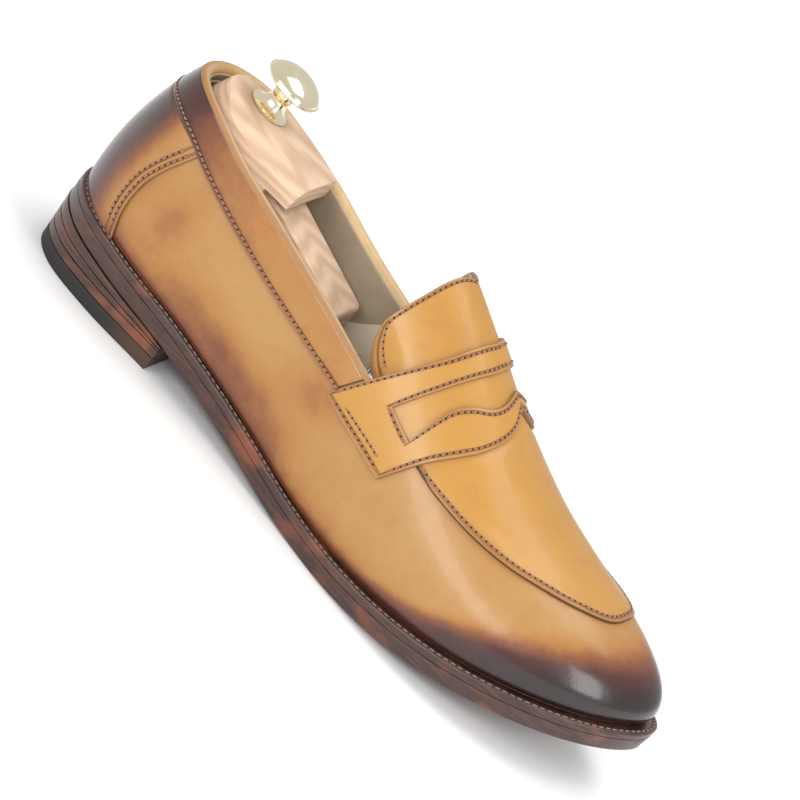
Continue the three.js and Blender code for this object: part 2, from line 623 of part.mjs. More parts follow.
function addKnob() {
  const bore = STUD_RADIUS + GAP;
  const plate = [[bore, GAP], [PLATE_RADIUS, GAP], [PLATE_RADIUS, GAP + 0.9], [6.2, 2.6], [4.4, 5], [3.9, 7.2],
    [bore, 7.2], [bore, GAP]];
  const lathe = (profile) => new THREE.LatheGeometry(profile.map(([r, z]) => new THREE.Vector2(r, z)), 32);
  add('knob_plate', knobPiece(lathe(plate)), BRASS);
  const rim = KNOB_HEIGHT;
  const head = [[bore, 7.5], [3.9, 7.5], [3.7, rim - 3.6], [5.4, rim - 2], [KNOB_RADIUS - 1, rim - 0.7],
    [KNOB_RADIUS, rim], [KNOB_RADIUS - 0.6, rim + 1], [KNOB_RADIUS * 0.82, rim + 2.9],
    [KNOB_RADIUS * 0.5, rim + 4.8], [0, rim + 5.6], [0, rim - 1.6], [bore, rim - 1.6], [bore, 7.5]];
  add('knob_head', knobPiece(lathe(head)), BRASS);
  add('knob_stud', knobPiece(studShape(0)), STEEL);
}

function addArm() {
  const arm = armBody(0).subtract(rodHole());
  add('tree_arm', tree.screws.reduce((cut, place) => cut.subtract(screwBar(place, GAP)), arm), WOOD);
  tree.screws.forEach((place, k) => add(`arm_screw_${k + 1}`, screwBar(place, 0), BRASS));
  add('slide_rod', bar(ROD_RADIUS, ...tree.rod), STEEL);
}

function pinBar(place, grow) {
  const reach = tree.pinReach + (grow > 0 ? SPREAD_TRAVEL + 1 : 0);
  return bar(PIN_RADIUS + grow, place.clone().setY(-reach), place.clone().setY(reach), 12);
}

function addToeBlocks() {
  const floorSpace = layer(0, SOLE_LENGTH, none, none, () => -60, (x) => sockTop(x) + GAP);
  const centre = sidePrism(drawn([[165, 0], [165, 62], [200, 61], [232, 54], [250, 50], [250, 0]]),
    -CORE_HALF, CORE_HALF).subtract(floorSpace);
  const pinHoles = tree.pins.map((place) => pinBar(place, GAP));
  add('tree_centre', [rodHole(), ...pinHoles].reduce((cut, hole) => cut.subtract(hole), centre), WOOD);
  const inner = CORE_HALF + GAP + SPREAD_TRAVEL + 0.7;
  for (const [name, side] of [['toe_block_outer', -1], ['toe_block_inner', 1]]) {
    const [fromY, toY] = side < 0 ? [-HALF_SPACE, -inner] : [inner, HALF_SPACE];
    const half = treeInside.intersect(block(along(162), along(284), fromY, toY, -60, 300)).subtract(floorSpace);
    add(name, pinHoles.reduce((cut, hole) => cut.subtract(hole), half), WOOD);
  }
  tree.pins.forEach((place, k) => add(`spread_pin_${k + 1}`, pinBar(place, 0), STEEL));
}

// Compression spring round the rod, between the arm and the centre block
function addSpring() {
  const radius = ROD_RADIUS + ROD_CLEARANCE + SPRING_WIRE / 2;
  const start = tree.armEnd + SPRING_WIRE / 2 + GAP;
  const length = tree.coreBack - GAP - SPRING_WIRE / 2 - start;
  class Helix extends THREE.Curve {
    getPoint(t, target = new THREE.Vector3()) {
      const angle = t * SPRING_TURNS * 2 * Math.PI;
      return target.set(start + t * length, radius * Math.cos(angle), upward(ROD_HEIGHT) + radius * Math.sin(angle));
    }
  }
  const wire = new THREE.Shape(Array.from({ length: 6 }, (_, k) => new THREE.Vector2(
    SPRING_WIRE / 2 * Math.cos(k * Math.PI / 3), SPRING_WIRE / 2 * Math.sin(k * Math.PI / 3))));
  const geometry = new THREE.ExtrudeGeometry(wire, { steps: SPRING_TURNS * 10, extrudePath: new Helix() });
  add('slide_spring', solid(geometry), STEEL);
}

addHeel();
addBottom();
addUpper();
addHeelBlock();
addKnob();
addArm();
addToeBlocks();
addSpring();

const box = new THREE.Box3().setFromObject(parts);
parts.position.set(-(box.min.x + box.max.x) / 2, -(box.min.y + box.max.y) / 2, -box.min.z);
const loafer = new THREE.Group();
loafer.add(parts);

export default loafer;
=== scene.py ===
import math

import bmesh
import bpy
import numpy as np
from mathutils import Matrix, Vector


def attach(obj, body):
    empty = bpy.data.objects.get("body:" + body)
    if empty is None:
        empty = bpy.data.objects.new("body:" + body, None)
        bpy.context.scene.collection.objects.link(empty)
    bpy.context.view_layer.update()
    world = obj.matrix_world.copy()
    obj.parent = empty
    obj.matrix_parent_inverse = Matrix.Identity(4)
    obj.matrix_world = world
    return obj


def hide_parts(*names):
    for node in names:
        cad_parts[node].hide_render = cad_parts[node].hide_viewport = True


bl_info = {
    "name": "Penny Loafer",
    "version": (1, 0, 0),
    "blender": (4, 5, 0),
    "location": "View3D > Sidebar > Loafer",
    "description": "Builds a welted penny loafer with a wooden shoe tree",
    "category": "Add Mesh",
}

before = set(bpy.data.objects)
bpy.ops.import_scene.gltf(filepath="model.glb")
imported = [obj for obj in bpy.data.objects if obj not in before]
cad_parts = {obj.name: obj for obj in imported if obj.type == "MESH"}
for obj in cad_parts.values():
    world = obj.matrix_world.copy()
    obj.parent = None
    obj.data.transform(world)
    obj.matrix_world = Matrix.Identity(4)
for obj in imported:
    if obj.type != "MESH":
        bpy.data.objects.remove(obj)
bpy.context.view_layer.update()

# Sizes are in millimetres along the shoe from the back of the heel, and become metres in the row frame
ROW_SHIFT = np.array([-149.863, 2.227, 0.0])
OUTSOLE = 6.0
WELT = 3.4
GAP = 0.3
INSOLE = 2.5
LINING_INNER = -4.0
OVERLAY_TOP = 1.6
STRAP_TOP = 1.9

SOLE_POINTS = [
    (0, 0), (4, -15.5), (16, -27), (40, -32), (75, -31.5), (112, -33.5), (150, -41), (186, -48.5),
    (216, -50.5), (245, -45.5), (270, -34.5), (288, -20), (298, -4), (299.5, 8), (294, 20), (281, 31),
    (258, 40.5), (232, 45.5), (203, 45.5), (170, 37), (135, 28), (100, 26), (66, 31), (38, 32), (16, 27),
    (4, 16),
]


def smooth(points):
    """Smooth curve through (x, value) points, flat beyond its ends."""
    xs, ys = (np.array(column, float) for column in zip(*points))
    before = np.r_[0, np.arange(len(xs) - 1)]
    after = np.r_[np.arange(1, len(xs)), len(xs) - 1]
    slopes = (ys[after] - ys[before]) / (xs[after] - xs[before])

    def curve(x):
        x = np.clip(x, xs[0], xs[-1])
        i = np.clip(np.searchsorted(xs, x, side="right") - 1, 0, len(xs) - 2)
        width = xs[i + 1] - xs[i]
        u = (x - xs[i]) / width
        near = (1 + 2 * u) * (1 - u) ** 2 * ys[i] + u * (1 - u) ** 2 * width * slopes[i]
        far = u * u * (3 - 2 * u) * ys[i + 1] + u * u * (u - 1) * width * slopes[i + 1]
        return near + far

    return curve


def ease(low, high, x):
    u = np.clip((np.asarray(x, float) - low) / (high - low), 0, 1)
    return u * u * (3 - 2 * u)


sole_bottom = smooth([
    (0, 21), (35, 16.8), (68, 13.02), (95, 8.82), (125, 3.99), (148, 1), (168, 0), (190, 1), (205, 2.75),
    (230, 6.75), (255, 12.25), (278, 18.25), (300, 25),
])
ridge_height = smooth([
    (0, 136), (40, 137), (80, 131), (110, 120), (140, 106), (165, 93), (190, 79), (215, 68.5),
    (240, 62), (260, 59.2), (280, 56.8), (300, 55.8),
])
reveal = smooth([(0, 3), (130, 3), (190, 4.5), (300, 4.5)])
fullness = smooth([(0, 2.4), (30, 2.35), (90, 2.15), (230, 2.15), (270, 2.4), (300, 2.4)])
bulge = smooth([(0, 4.5), (60, 4), (130, 4.8), (190, 4), (230, 2), (300, 1.2)])
inner_rise = smooth([(0, 0), (18, 0), (55, 4), (90, 5.5), (150, 6.5)])
topline_height = smooth([
    (-20, 92), (6, 92.4), (16, 92.3), (28, 90.6), (48, 84.8), (69, 79.5), (89, 74.5), (115, 68.4),
    (150, 60.5),
])
collar_seam_height = smooth([
    (-20, 79.6), (6, 80), (14, 80), (26, 78), (40, 73.2), (67, 64.8), (88, 59.6), (109, 55.8), (150, 49.6),
])
apron_seam = smooth([
    (112, 0.33), (140, 0.36), (174.5, 0.388), (190.5, 0.419), (208.5, 0.456), (231, 0.513), (251, 0.581),
    (267.5, 0.644), (285, 0.725), (299.5, 0.85),
])
counter_front = smooth([
    (18, 33.6), (29, 29.6), (39.5, 26.4), (52.3, 26), (62.5, 28.8), (73, 33.4), (84, 38),
])
strap_rear = smooth([(0.21, 128.4), (0.356, 136.5), (0.494, 143), (0.663, 149), (0.925, 153), (1, 152.5)])
strap_front = smooth([(0.21, 163.5), (0.244, 165.8), (0.419, 175), (0.569, 184), (0.669, 189.5),
                      (0.8, 194), (0.9, 194.5), (0.955, 192), (1, 189.5)])
slot_rear = smooth([(0.38, 150), (0.569, 157), (0.72, 162), (0.856, 166), (1, 168)])
slot_front = smooth([(0.38, 164.5), (0.5, 165.5), (0.6, 167), (0.68, 171), (0.788, 178.5), (0.88, 181),
                     (1, 179.5)])
SLOT_END = 0.392


def outline_table():
    """Dense closed centripetal curve through the sole points: shares of its length, and points."""
    points = np.array(SOLE_POINTS, float)
    ahead = np.roll(points, -1, axis=0)
    behind = np.roll(points, 1, axis=0)
    far = np.roll(points, -2, axis=0)
    dt0 = np.sqrt(np.linalg.norm(points - behind, axis=1))[:, None]
    dt1 = np.sqrt(np.linalg.norm(ahead - points, axis=1))[:, None]
    dt2 = np.sqrt(np.linalg.norm(far - ahead, axis=1))[:, None]
    t1 = ((points - behind) / dt0 - (ahead - behind) / (dt0 + dt1) + (ahead - points) / dt1) * dt1
    t2 = ((ahead - points) / dt1 - (far - points) / (dt1 + dt2) + (far - ahead) / dt2) * dt1
    w = np.linspace(0, 1, 90, endpoint=False)[:, None, None]
    c2 = -3 * points + 3 * ahead - 2 * t1 - t2
    c3 = 2 * points - 2 * ahead + t1 + t2
    dense = (points + t1 * w + c2 * w ** 2 + c3 * w ** 3).transpose(1, 0, 2).reshape(-1, 2)
    dense = np.vstack([dense, dense[:1]])
    length = np.r_[0, np.cumsum(np.linalg.norm(np.diff(dense, axis=0), axis=1))]
    return length / length[-1], dense


SHARES, DENSE = outline_table()


def outline(share):
    s = np.mod(share, 1)
    return np.stack([np.interp(s, SHARES, DENSE[:, 0]), np.interp(s, SHARES, DENSE[:, 1])], -1)


def inward(share):
    step = outline(share + 0.0012) - outline(share - 0.0012)
    step /= np.linalg.norm(step, axis=-1, keepdims=True)
    return np.stack([-step[..., 1], step[..., 0]], -1)


def end_share(sign):
    best = SHARES[np.argmax(sign * DENSE[:, 0])]
    return best - 1 if best > 0.9 else best


HEEL = end_share(-1)
TOE = end_share(1)
FAN = np.linspace(0, 1, 1500)
OUTER_SHARES = HEEL + (TOE - HEEL) * FAN
INNER_SHARES = HEEL + 1 + (TOE - HEEL - 1) * FAN
OUTER_X = np.maximum.accumulate(outline(OUTER_SHARES)[:, 0])
INNER_X = np.maximum.accumulate(outline(INNER_SHARES)[:, 0])
HEEL_END, TOE_END = OUTER_X[0], OUTER_X[-1]


def share_at(x, side):
    outer = np.interp(x, OUTER_X, OUTER_SHARES)
    inner = np.interp(x, INNER_X, INNER_SHARES)
    return np.where(np.asarray(side) < 0, outer, inner)


def welt_top(x):
    return sole_bottom(x) + OUTSOLE + WELT + GAP


def last_point(share, rise):
    """Point of the outer surface of the vamp, from the welt (rise 0) to the ridge (rise 1)."""
    rim = outline(share)
    inner = inward(share)
    foot = rim + inner * reveal(rim[..., 0])[..., None]
    u = rim[..., 0] / 300
    spine = np.stack([62 + 188 * u, 4 + u], -1)
    power = 2 / fullness(rim[..., 0])
    reach = np.maximum(np.cos(rise * math.pi / 2), 0) ** power
    lift = np.maximum(np.sin(rise * math.pi / 2), 0) ** power
    swell = 4 * lift * (1 - lift) ** 2 * bulge(rim[..., 0])
    plan = spine + (foot - spine) * reach[..., None] - inner * swell[..., None]
    base = welt_top(rim[..., 0]) + GAP
    z = base + (ridge_height(plan[..., 0]) - base) * lift
    return np.concatenate([plan, z[..., None]], -1)


def unit(v):
    return v / np.maximum(np.linalg.norm(v, axis=-1, keepdims=True), 1e-9)


def last_normal(share, rise):
    middle = np.clip(rise, 0.001, 0.965)
    up = (last_point(share, np.minimum(middle + 0.01, 0.975))
          - last_point(share, np.maximum(middle - 0.01, 0.0005)))
    ahead = last_point(share + 0.002, middle) - last_point(share - 0.002, middle)
    normal = unit(np.cross(ahead, up))
    x = 62 + 188 * outline(share)[..., 0] / 300
    slope = (ridge_height(x + 1) - ridge_height(x - 1)) / 2
    top = unit(np.stack([-slope, np.zeros_like(slope), np.ones_like(slope)], -1))
    return unit(normal + (top - normal) * ease(0.9, 1, rise)[..., None])


def on_last(share, rise, offset):
    share, rise, offset = np.broadcast_arrays(np.asarray(share, float), rise, offset)
    return last_point(share, rise) + last_normal(share, rise) * offset[..., None]


def over_last(x, s, offset):
    """Point at rim station x, from the outer welt (s -1) over the ridge (0) to the inner welt (1)."""
    x, s, offset = np.broadcast_arrays(np.asarray(x, float), s, offset)
    return on_last(share_at(x, s), 1 - np.abs(s), offset)


def is_inner(share):
    return np.mod(share - HEEL, 1) > TOE - HEEL


def rise_at(share, height, raised=True):
    """Rise at which the last meets a line drawn in the side view."""
    share = np.asarray(share, float)
    low, high = np.zeros_like(share), np.full_like(share, 0.95)
    lifted = np.where(is_inner(share), 1.0, 0.0) if raised else np.zeros_like(share)
    for _ in range(26):
        middle = (low + high) / 2
        p = last_point(share, middle)
        below = p[..., 2] < height(p[..., 0]) + lifted * inner_rise(p[..., 0])
        low, high = np.where(below, middle, low), np.where(below, high, middle)
    return (low + high) / 2


def rise_step(share, rise, distance):
    """Rise after a walk of that many millimetres up the surface."""
    share = np.asarray(share, float)
    length = np.linalg.norm(last_point(share, rise + 0.01) - last_point(share, rise - 0.01), axis=-1) / 0.02
    return rise + distance / length


def topline(share):
    return rise_at(share, topline_height)


def collar_seam(share):
    return rise_at(share, collar_seam_height)


def vamp_edge(share):
    x = outline(share)[..., 0]
    mouth = topline(np.where(x < 152, share, share_at(152.0, np.where(is_inner(share), 1, -1))))
    return mouth + (apron_seam(x) - mouth) * ease(138, 150, x)


# ---------------------------------------------------------------- meshes


def piece(name, points, faces, finish, body="shoe", nodes=(), values=None, weld=0.0, smooth_angle=40):
    """Object from points in millimetres, riding on a body and standing for its nodes."""
    mesh = bpy.data.meshes.new(name)
    mesh.from_pydata(((np.asarray(points, float) + ROW_SHIFT) / 1000).tolist(), [], faces)
    for key, array in (values or {}).items():
        attribute = mesh.attributes.new(key, "FLOAT", "POINT")
        attribute.data.foreach_set("value", np.ascontiguousarray(array, np.float32))
    bm = bmesh.new()
    bm.from_mesh(mesh)
    if weld:
        bmesh.ops.remove_doubles(bm, verts=bm.verts, dist=weld / 1000)
    bmesh.ops.recalc_face_normals(bm, faces=bm.faces)
    bm.to_mesh(mesh)
    bm.free()
    mesh.shade_smooth()
    obj = bpy.data.objects.new(name, mesh)
    bpy.context.scene.collection.objects.link(obj)
    mesh.materials.append(finish)
    mesh.set_sharp_from_angle(angle=math.radians(smooth_angle))
    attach(obj, body)
    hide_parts(*nodes)
    return obj


def graded(length, edge, count):
    inset = min(edge / length, 0.2)
    ends = inset * np.array([0, 0.1, 0.35, 1])
    return np.r_[ends, np.linspace(inset, 1 - inset, count)[1:-1], (1 - ends)[::-1]]


def sheet_body(place, columns, rows, edge=0.4, ring=False, rims="uvUV", folded=""):
    """Closed body of a sheet with rounded rims. place(u, w, under, drop) gives its points.

    Its sides are v and V along the length and u and U at the ends. A folded end meets itself.
    """
    probe = place(np.linspace(0, 1, 60)[:, None], np.linspace(0, 1, 40)[None, :], False, 0.0)
    long = max(np.linalg.norm(np.diff(probe, axis=0), axis=-1).sum(0).max(), 1e-6)
    u = np.linspace(0, 1, columns, endpoint=False) if ring else graded(long, edge, columns)
    wide_probe = place(u[:, None], np.linspace(0, 1, 60)[None, :], False, 0.0)
    wide = np.maximum(np.linalg.norm(np.diff(wide_probe, axis=1), axis=-1).sum(1), 1e-3)
    w = np.stack([graded(width, edge, rows) for width in wide])
    u = np.repeat(u[:, None], w.shape[1], axis=1)
    across = np.stack([w * wide[:, None], (1 - w) * wide[:, None]])
    along = np.full((2,) + w.shape, 1e3) if ring else np.stack([u * long, (1 - u) * long])
    for k, key in enumerate("uU"):
        if key in folded:
            along[k] = 1e3
    border = np.minimum(across.min(0), along.min(0))
    chosen = [d for key, d in zip("vVuU", [*across, *along]) if key in rims]
    rim = np.minimum.reduce(chosen) if chosen else np.full(w.shape, 50.0)
    inside = np.clip(border, 0, edge)
    drop = edge - np.sqrt(np.maximum(edge ** 2 - (edge - inside) ** 2, 0))
    top = place(u, w, False, drop)
    low = place(u, w, True, drop)
    n, m = w.shape
    index = np.arange(n * m).reshape(n, m)
    if ring:
        index = np.vstack([index, index[:1]])
    a, b, c, d = index[:-1, :-1], index[1:, :-1], index[1:, 1:], index[:-1, 1:]
    upper = np.stack([a, b, c, d], -1).reshape(-1, 4)
    faces = [upper, upper[:, ::-1] + n * m]
    borders = [index[:, 0], index[::-1, -1]]
    if not ring:
        borders += [line for key, line in (("u", index[0, ::-1]), ("U", index[-1, :])) if key not in folded]
    for line in borders:
        faces.append(np.stack([line[1:], line[:-1], line[:-1] + n * m, line[1:] + n * m], -1))
    points = np.vstack([top.reshape(-1, 3), low.reshape(-1, 3)])
    values = {
        "rim": np.clip(np.r_[rim.ravel(), rim.ravel() * 0], 0, 50),
        "cut": np.r_[np.clip(1 - border.ravel() / edge, 0, 1) ** 0.5, np.ones(n * m)],
    }
    return points, np.vstack(faces).tolist(), values


def tongue_seam(rise):
    """Rim station where the tongue meets the apron, under the rear of the strap."""
    rise = np.maximum(rise, SLOT_END + 0.01)
    return (strap_rear(rise) + slot_rear(rise)) / 2 + 0.6


def burnish(points):
    """How dark each point is, from 0 to 1: hand-applied stain, plus painted shade just under the rear end of
    the strap.
    """
    x, _, z = points.T
    high = np.maximum(z - welt_top(x) - GAP, 0)
    reach = 4.5 + 24 * ease(175, 288, x)
    toe = ease(1.30, 0.30, high / reach) * ease(150, 262, x)
    low = 0.66 * np.exp(-high / 4.2)
    waist = 0.40 * np.exp(-((high - 9) / 9) ** 2) * np.exp(-((x - 92) / 40) ** 2)
    heel = 0.62 * ease(40, 2, x)
    seat = 0.30 * np.exp(-((x - 44) / 9) ** 2) * np.exp(-((z - 52) / 14) ** 2)
    # Painted shade: a darker patch just under the rear end of the strap.
    strap_end_shade = 0.22 * np.exp(-((x - 128) / 16) ** 2) * np.exp(-((z - 45) / 10) ** 2)
    total = 1 - (1 - toe) * (1 - low) * (1 - waist) * (1 - heel) * (1 - seat) * (1 - strap_end_shade)
    return np.clip(total, 0, 1)


def collar_stain(points):
    """The collar band is darkest at the back of the heel and lighter towards its front ends."""
    x = points[:, 0]
    return np.clip(0.12 + 0.55 * ease(52, 8, x) + 0.12 * ease(100, 50, x), 0, 1)


def leather(name, place, columns, rows, finish, nodes=(), edge=0.4, ring=False, rims="uvUV", folded="",
            darkening=burnish):
    points, faces, values = sheet_body(place, columns, rows, edge, ring, rims, folded)
    values["burnish"] = darkening(points)
    return piece(name, points, faces, finish, nodes=nodes, values=values, weld=0.002)


def layer_place(coordinates, top, bottom):
    """Place function of a sheet between two distances from the last."""
    def place(u, w, under, drop):
        share, rise = coordinates(*np.broadcast_arrays(u, w))
        return on_last(share, rise, bottom + drop if under else top - drop)
    return place


def arch_place(coordinates, top, bottom):
    def place(u, w, under, drop):
        x, s = coordinates(*np.broadcast_arrays(u, w))
        return over_last(x, s, bottom + drop if under else top - drop)
    return place


def capsules(centres, along, up, length, radius):
    """Thread stitches: rounded rods along the seam whose ends dip into the leather."""
    side = unit(np.cross(along, up))
    profile = [(-1, 0.05, -0.9), (-0.86, 0.72, -0.35), (-0.45, 1, 0), (0.45, 1, 0), (0.86, 0.72, -0.35),
               (1, 0.05, -0.9)]
    turns = np.linspace(0, 2 * math.pi, 7)[:-1]
    rings = []
    for t, r, sink in profile:
        axis = centres + along * (t * length / 2) + up * (sink * radius)
        ring = [axis + radius * r * (math.cos(a) * side + math.sin(a) * up) for a in turns]
        rings.append(np.stack(ring, 1))
    points = np.stack(rings, 1)
    count, k, m = points.shape[:3]
    base = np.arange(count)[:, None, None] * k * m
    i = np.arange(k - 1)[None, :, None] * m
    j = np.arange(m)[None, None, :]
    a = base + i + j
    b = base + i + (j + 1) % m
    sides = np.stack([a, a + m, b + m, b], -1).reshape(-1, 4)
    ends = []
    for n in range(count):
        first = n * k * m
        ends.append([first + q for q in range(m)][::-1])
        ends.append([first + (k - 1) * m + q for q in range(m)])
    return points.reshape(-1, 3), sides.tolist() + ends


def stitch_path(share, rise, offset, pitch=2.9, slant=0.0):
    """Centres, directions and normals of stitches spaced along a path on the last."""
    share, rise = np.broadcast_arrays(np.asarray(share, float), np.asarray(rise, float))
    points = on_last(share, rise, offset)
    length = np.r_[0, np.cumsum(np.linalg.norm(np.diff(points, axis=0), axis=1))]
    count = max(int(length[-1] / pitch), 2)
    at = (np.arange(count) + 0.5) / count * length[-1]
    s = np.interp(at, length, share)
    r = np.interp(at, length, rise)
    centres = np.stack([np.interp(at, length, points[:, k]) for k in range(3)], 1)
    ahead = np.stack([np.interp(at + 0.8, length, points[:, k]) for k in range(3)], 1)
    back = np.stack([np.interp(at - 0.8, length, points[:, k]) for k in range(3)], 1)
    up = last_normal(s, r)
    along = unit(ahead - back)
    along = unit(along + slant * np.cross(up, along))
    return centres, along, up


def rods(name, paths, finish, length, radius, body):
    points, faces, start = [], [], 0
    for centres, along, up in paths:
        p, f = capsules(centres, along, up, length, radius)
        points.append(p)
        faces += [[v + start for v in face] for face in f]
        start += len(p)
    return piece(name, np.vstack(points), faces, finish, body=body, smooth_angle=80)


def sew(name, paths, thread, length=2.35, radius=0.36, body="shoe"):
    """Rows of stitches, with very dark rods between them as painted shade in the holes where the thread goes
    down.
    """
    rods(name, paths, thread, length, radius, body)
    # Painted shade: very dark rods stand in for the shade inside the stitch holes.
    hole_shade_rods = [((c[1:] + c[:-1]) / 2 - 0.06 * up[1:], unit(a[1:] + a[:-1]), up[1:]) for c, a, up in paths]
    rods(name + "_holes", hole_shade_rods, finish("painted_hole_shade"), 0.85, radius * 1.25, body)


def swept(name, centres, sides, ups, profile, finish, nodes=(), body="shoe", ring=False, values=None):
    """Body swept along a path: the profile is (sideways, upward) pairs, closed round."""
    profile = np.asarray(profile, float)
    points = centres[:, None] + sides[:, None] * profile[None, :, :1] + ups[:, None] * profile[None, :, 1:]
    return tube(name, points, finish, nodes, body, ring, values)


def tube(name, points, finish, nodes=(), body="shoe", ring=False, values=None, smooth_angle=40):
    n, m = points.shape[:2]
    index = np.arange(n * m).reshape(n, m)
    rows = np.vstack([index, index[:1]]) if ring else index
    around = np.hstack([rows, rows[:, :1]])
    quads = np.stack([around[:-1, :-1], around[1:, :-1], around[1:, 1:], around[:-1, 1:]],
                     -1).reshape(-1, 4).tolist()
    if not ring:
        quads += [index[0].tolist(), index[-1][::-1].tolist()]
    return piece(name, points.reshape(-1, 3), quads, finish, body=body, nodes=nodes, values=values,
                 smooth_angle=smooth_angle)


# ---------------------------------------------------------------- finishes


class Signal:
    """A shader socket that takes part in Python arithmetic."""

    def __init__(self, maker, socket):
        self.maker = maker
        self.socket = socket

    def _maths(self, operation, *values, clamp=False):
        return self.maker.node("ShaderNodeMath", {"operation": operation, "use_clamp": clamp}, list(values))

    def __add__(self, other):
        return self._maths("ADD", self, other)

    __radd__ = __add__

    def __sub__(self, other):
        return self._maths("SUBTRACT", self, other)

    def __rsub__(self, other):
        return self._maths("SUBTRACT", other, self)

    def __mul__(self, other):
        return self._maths("MULTIPLY", self, other)

    __rmul__ = __mul__

    def __truediv__(self, other):
        return self._maths("DIVIDE", self, other)

    def __pow__(self, other):
        return self._maths("POWER", self, other)

    def clamp(self):
        return self._maths("ADD", self, 0.0, clamp=True)

    def near(self, value, width):
        """1 where the signal is near a value, down to 0 at the width."""
        away = self._maths("ABSOLUTE", self - value)
        return (1 - away / width).clamp()

    def between(self, low, high):
        """Eases from 0 at low to 1 at high."""
        settings = {"interpolation_type": "SMOOTHSTEP"}
        return self.maker.node("ShaderNodeMapRange", settings,
                               {"Value": self, "From Min": low, "From Max": high})


class Finish:
    """A material under construction: a Principled shader and the nodes before it."""

    def __init__(self, name, **constants):
        self.material = bpy.data.materials.new(name)
        self.material.use_nodes = True
        self.tree = self.material.node_tree
        self.shader = self.tree.nodes["Principled BSDF"]
        for socket, value in constants.items():
            self.shader.inputs[socket.replace("_", " ")].default_value = value

    def _feed(self, socket, value):
        if isinstance(value, Signal):
            self.tree.links.new(value.socket, socket)
        else:
            socket.default_value = value

    def node(self, kind, settings=None, inputs=None, output=0):
        made = self.tree.nodes.new(kind)
        for key, value in (settings or {}).items():
            if key == "stops":
                ramp = made.color_ramp
                while len(ramp.elements) < len(value):
                    ramp.elements.new(0.5)
                for element, (position, colour) in zip(ramp.elements, value):
                    element.position = position
                    element.color = (*colour, 1)
            else:
                setattr(made, key, value)
        pairs = inputs.items() if isinstance(inputs, dict) else enumerate(inputs or [])
        for key, value in pairs:
            self._feed(made.inputs[key], value)
        return Signal(self, made.outputs[output])

    def value(self, name):
        return self.node("ShaderNodeAttribute", {"attribute_name": name}, output=2)

    def position(self, stretch=(1, 1, 1)):
        """Object coordinates in millimetres, scaled along each axis."""
        place = self.node("ShaderNodeTexCoord", output=3)
        scale = [1000 * k for k in stretch]
        return self.node("ShaderNodeVectorMath", {"operation": "MULTIPLY"}, [place, scale])

    def axis(self, place, k):
        return self.node("ShaderNodeSeparateXYZ", None, [place], output=k)

    def noise(self, place, size, detail=3.0, rough=0.5):
        return self.node("ShaderNodeTexNoise", None,
                         {"Vector": place, "Scale": 1 / size, "Detail": detail, "Roughness": rough})

    def cells(self, place, size, feature="F1"):
        return self.node("ShaderNodeTexVoronoi", {"feature": feature}, {"Vector": place, "Scale": 1 / size})

    def ramp(self, factor, stops):
        return self.node("ShaderNodeValToRGB", {"stops": stops}, [factor])

    def mix(self, factor, first, second):
        made = self.tree.nodes.new("ShaderNodeMix")
        made.data_type = "RGBA"
        for socket, value in ((made.inputs[0], factor), (made.inputs[6], first), (made.inputs[7], second)):
            if not isinstance(value, Signal) and socket != made.inputs[0]:
                value = (*value, 1)
            self._feed(socket, value)
        return Signal(self, made.outputs[2])

    def bump(self, height, depth, before=None):
        """Relief of that depth in millimetres, where height goes from 0 to 1."""
        inputs = {"Height": height, "Distance": depth / 1000, "Strength": 1.0}
        if before:
            inputs["Normal"] = before
        return self.node("ShaderNodeBump", None, inputs)

    def paint(self, **signals):
        for socket, value in signals.items():
            self._feed(self.shader.inputs[socket.replace("_", " ")], value)
        return self.material


GOLD = (0.46, 0.225, 0.036)
TAN = (0.355, 0.150, 0.030)
CHESTNUT = (0.19, 0.055, 0.013)
MAHOGANY = (0.062, 0.0125, 0.008)
BURGUNDY = (0.011, 0.003, 0.003)
CUT_EDGE = (0.34, 0.19, 0.125)
# Apron's cut edge: dark-burnished at the toe, and painted shadow of the gap under the apron's lapped edge
# along its sides.
DARK_EDGE_AND_LAP_SHADOW = (0.030, 0.0085, 0.007)


def calf(name, base, extra=0.0, row=2.2, rows=1, edge=CUT_EDGE):
    """Polished calf, darkened by the per-point value of stain and painted shade, with a sunk stitching line
    along its rims.
    """
    f = Finish(name, Coat_Roughness=0.13, Specular_IOR_Level=0.5)
    place = f.position()
    cloud = f.noise(place, 19, 4.0, 0.55)
    mottle = f.noise(place, 5, 5.0, 0.6)
    strokes = f.noise(f.position((0.3, 1, 1)), 1.6, 4.0, 0.62)
    dark = f.value("burnish") + extra
    dark = dark + (cloud - 0.5) * 0.30 + (mottle - 0.5) * 0.16 + (strokes - 0.5) * 0.10
    rim = f.value("rim")
    worn = (1 - rim.between(0.3, 5.0)) * 0.14
    dark = (dark + worn).clamp()
    stained = f.ramp(dark, [(0.0, base), (0.22, TAN), (0.45, CHESTNUT), (0.70, MAHOGANY), (1.0, BURGUNDY)])
    groove = rim.near(row, 0.8)
    if rows == 2:
        groove = groove + rim.near(row + 2.7, 0.8)
    stained = f.mix(groove * 0.6, stained, CHESTNUT)
    cut = f.value("cut")
    edge_tone = f.mix(f.noise(place, 1.2, 3.0), edge, tuple(0.55 * k for k in edge))
    stained = f.mix((cut * 1.7 - 0.2).clamp() * 0.9, stained, edge_tone)
    pores = f.cells(place, 0.75)
    grain = f.cells(place, 1.7, "SMOOTH_F1")
    creases = f.noise(f.position((1, 0.5, 0.5)), 1.1, 4.0, 0.65)
    relief = f.bump(pores * 0.5 + grain * 0.4 + creases * 0.6, 0.05)
    relief = f.bump(1 - groove, 0.6, relief)
    gloss = 0.38 - dark * 0.13 + (mottle - 0.5) * 0.16 + pores * 0.05 + cut * 0.25
    return f.paint(Base_Color=stained, Roughness=gloss, Coat_Weight=0.18 + dark * 0.35, Normal=relief)


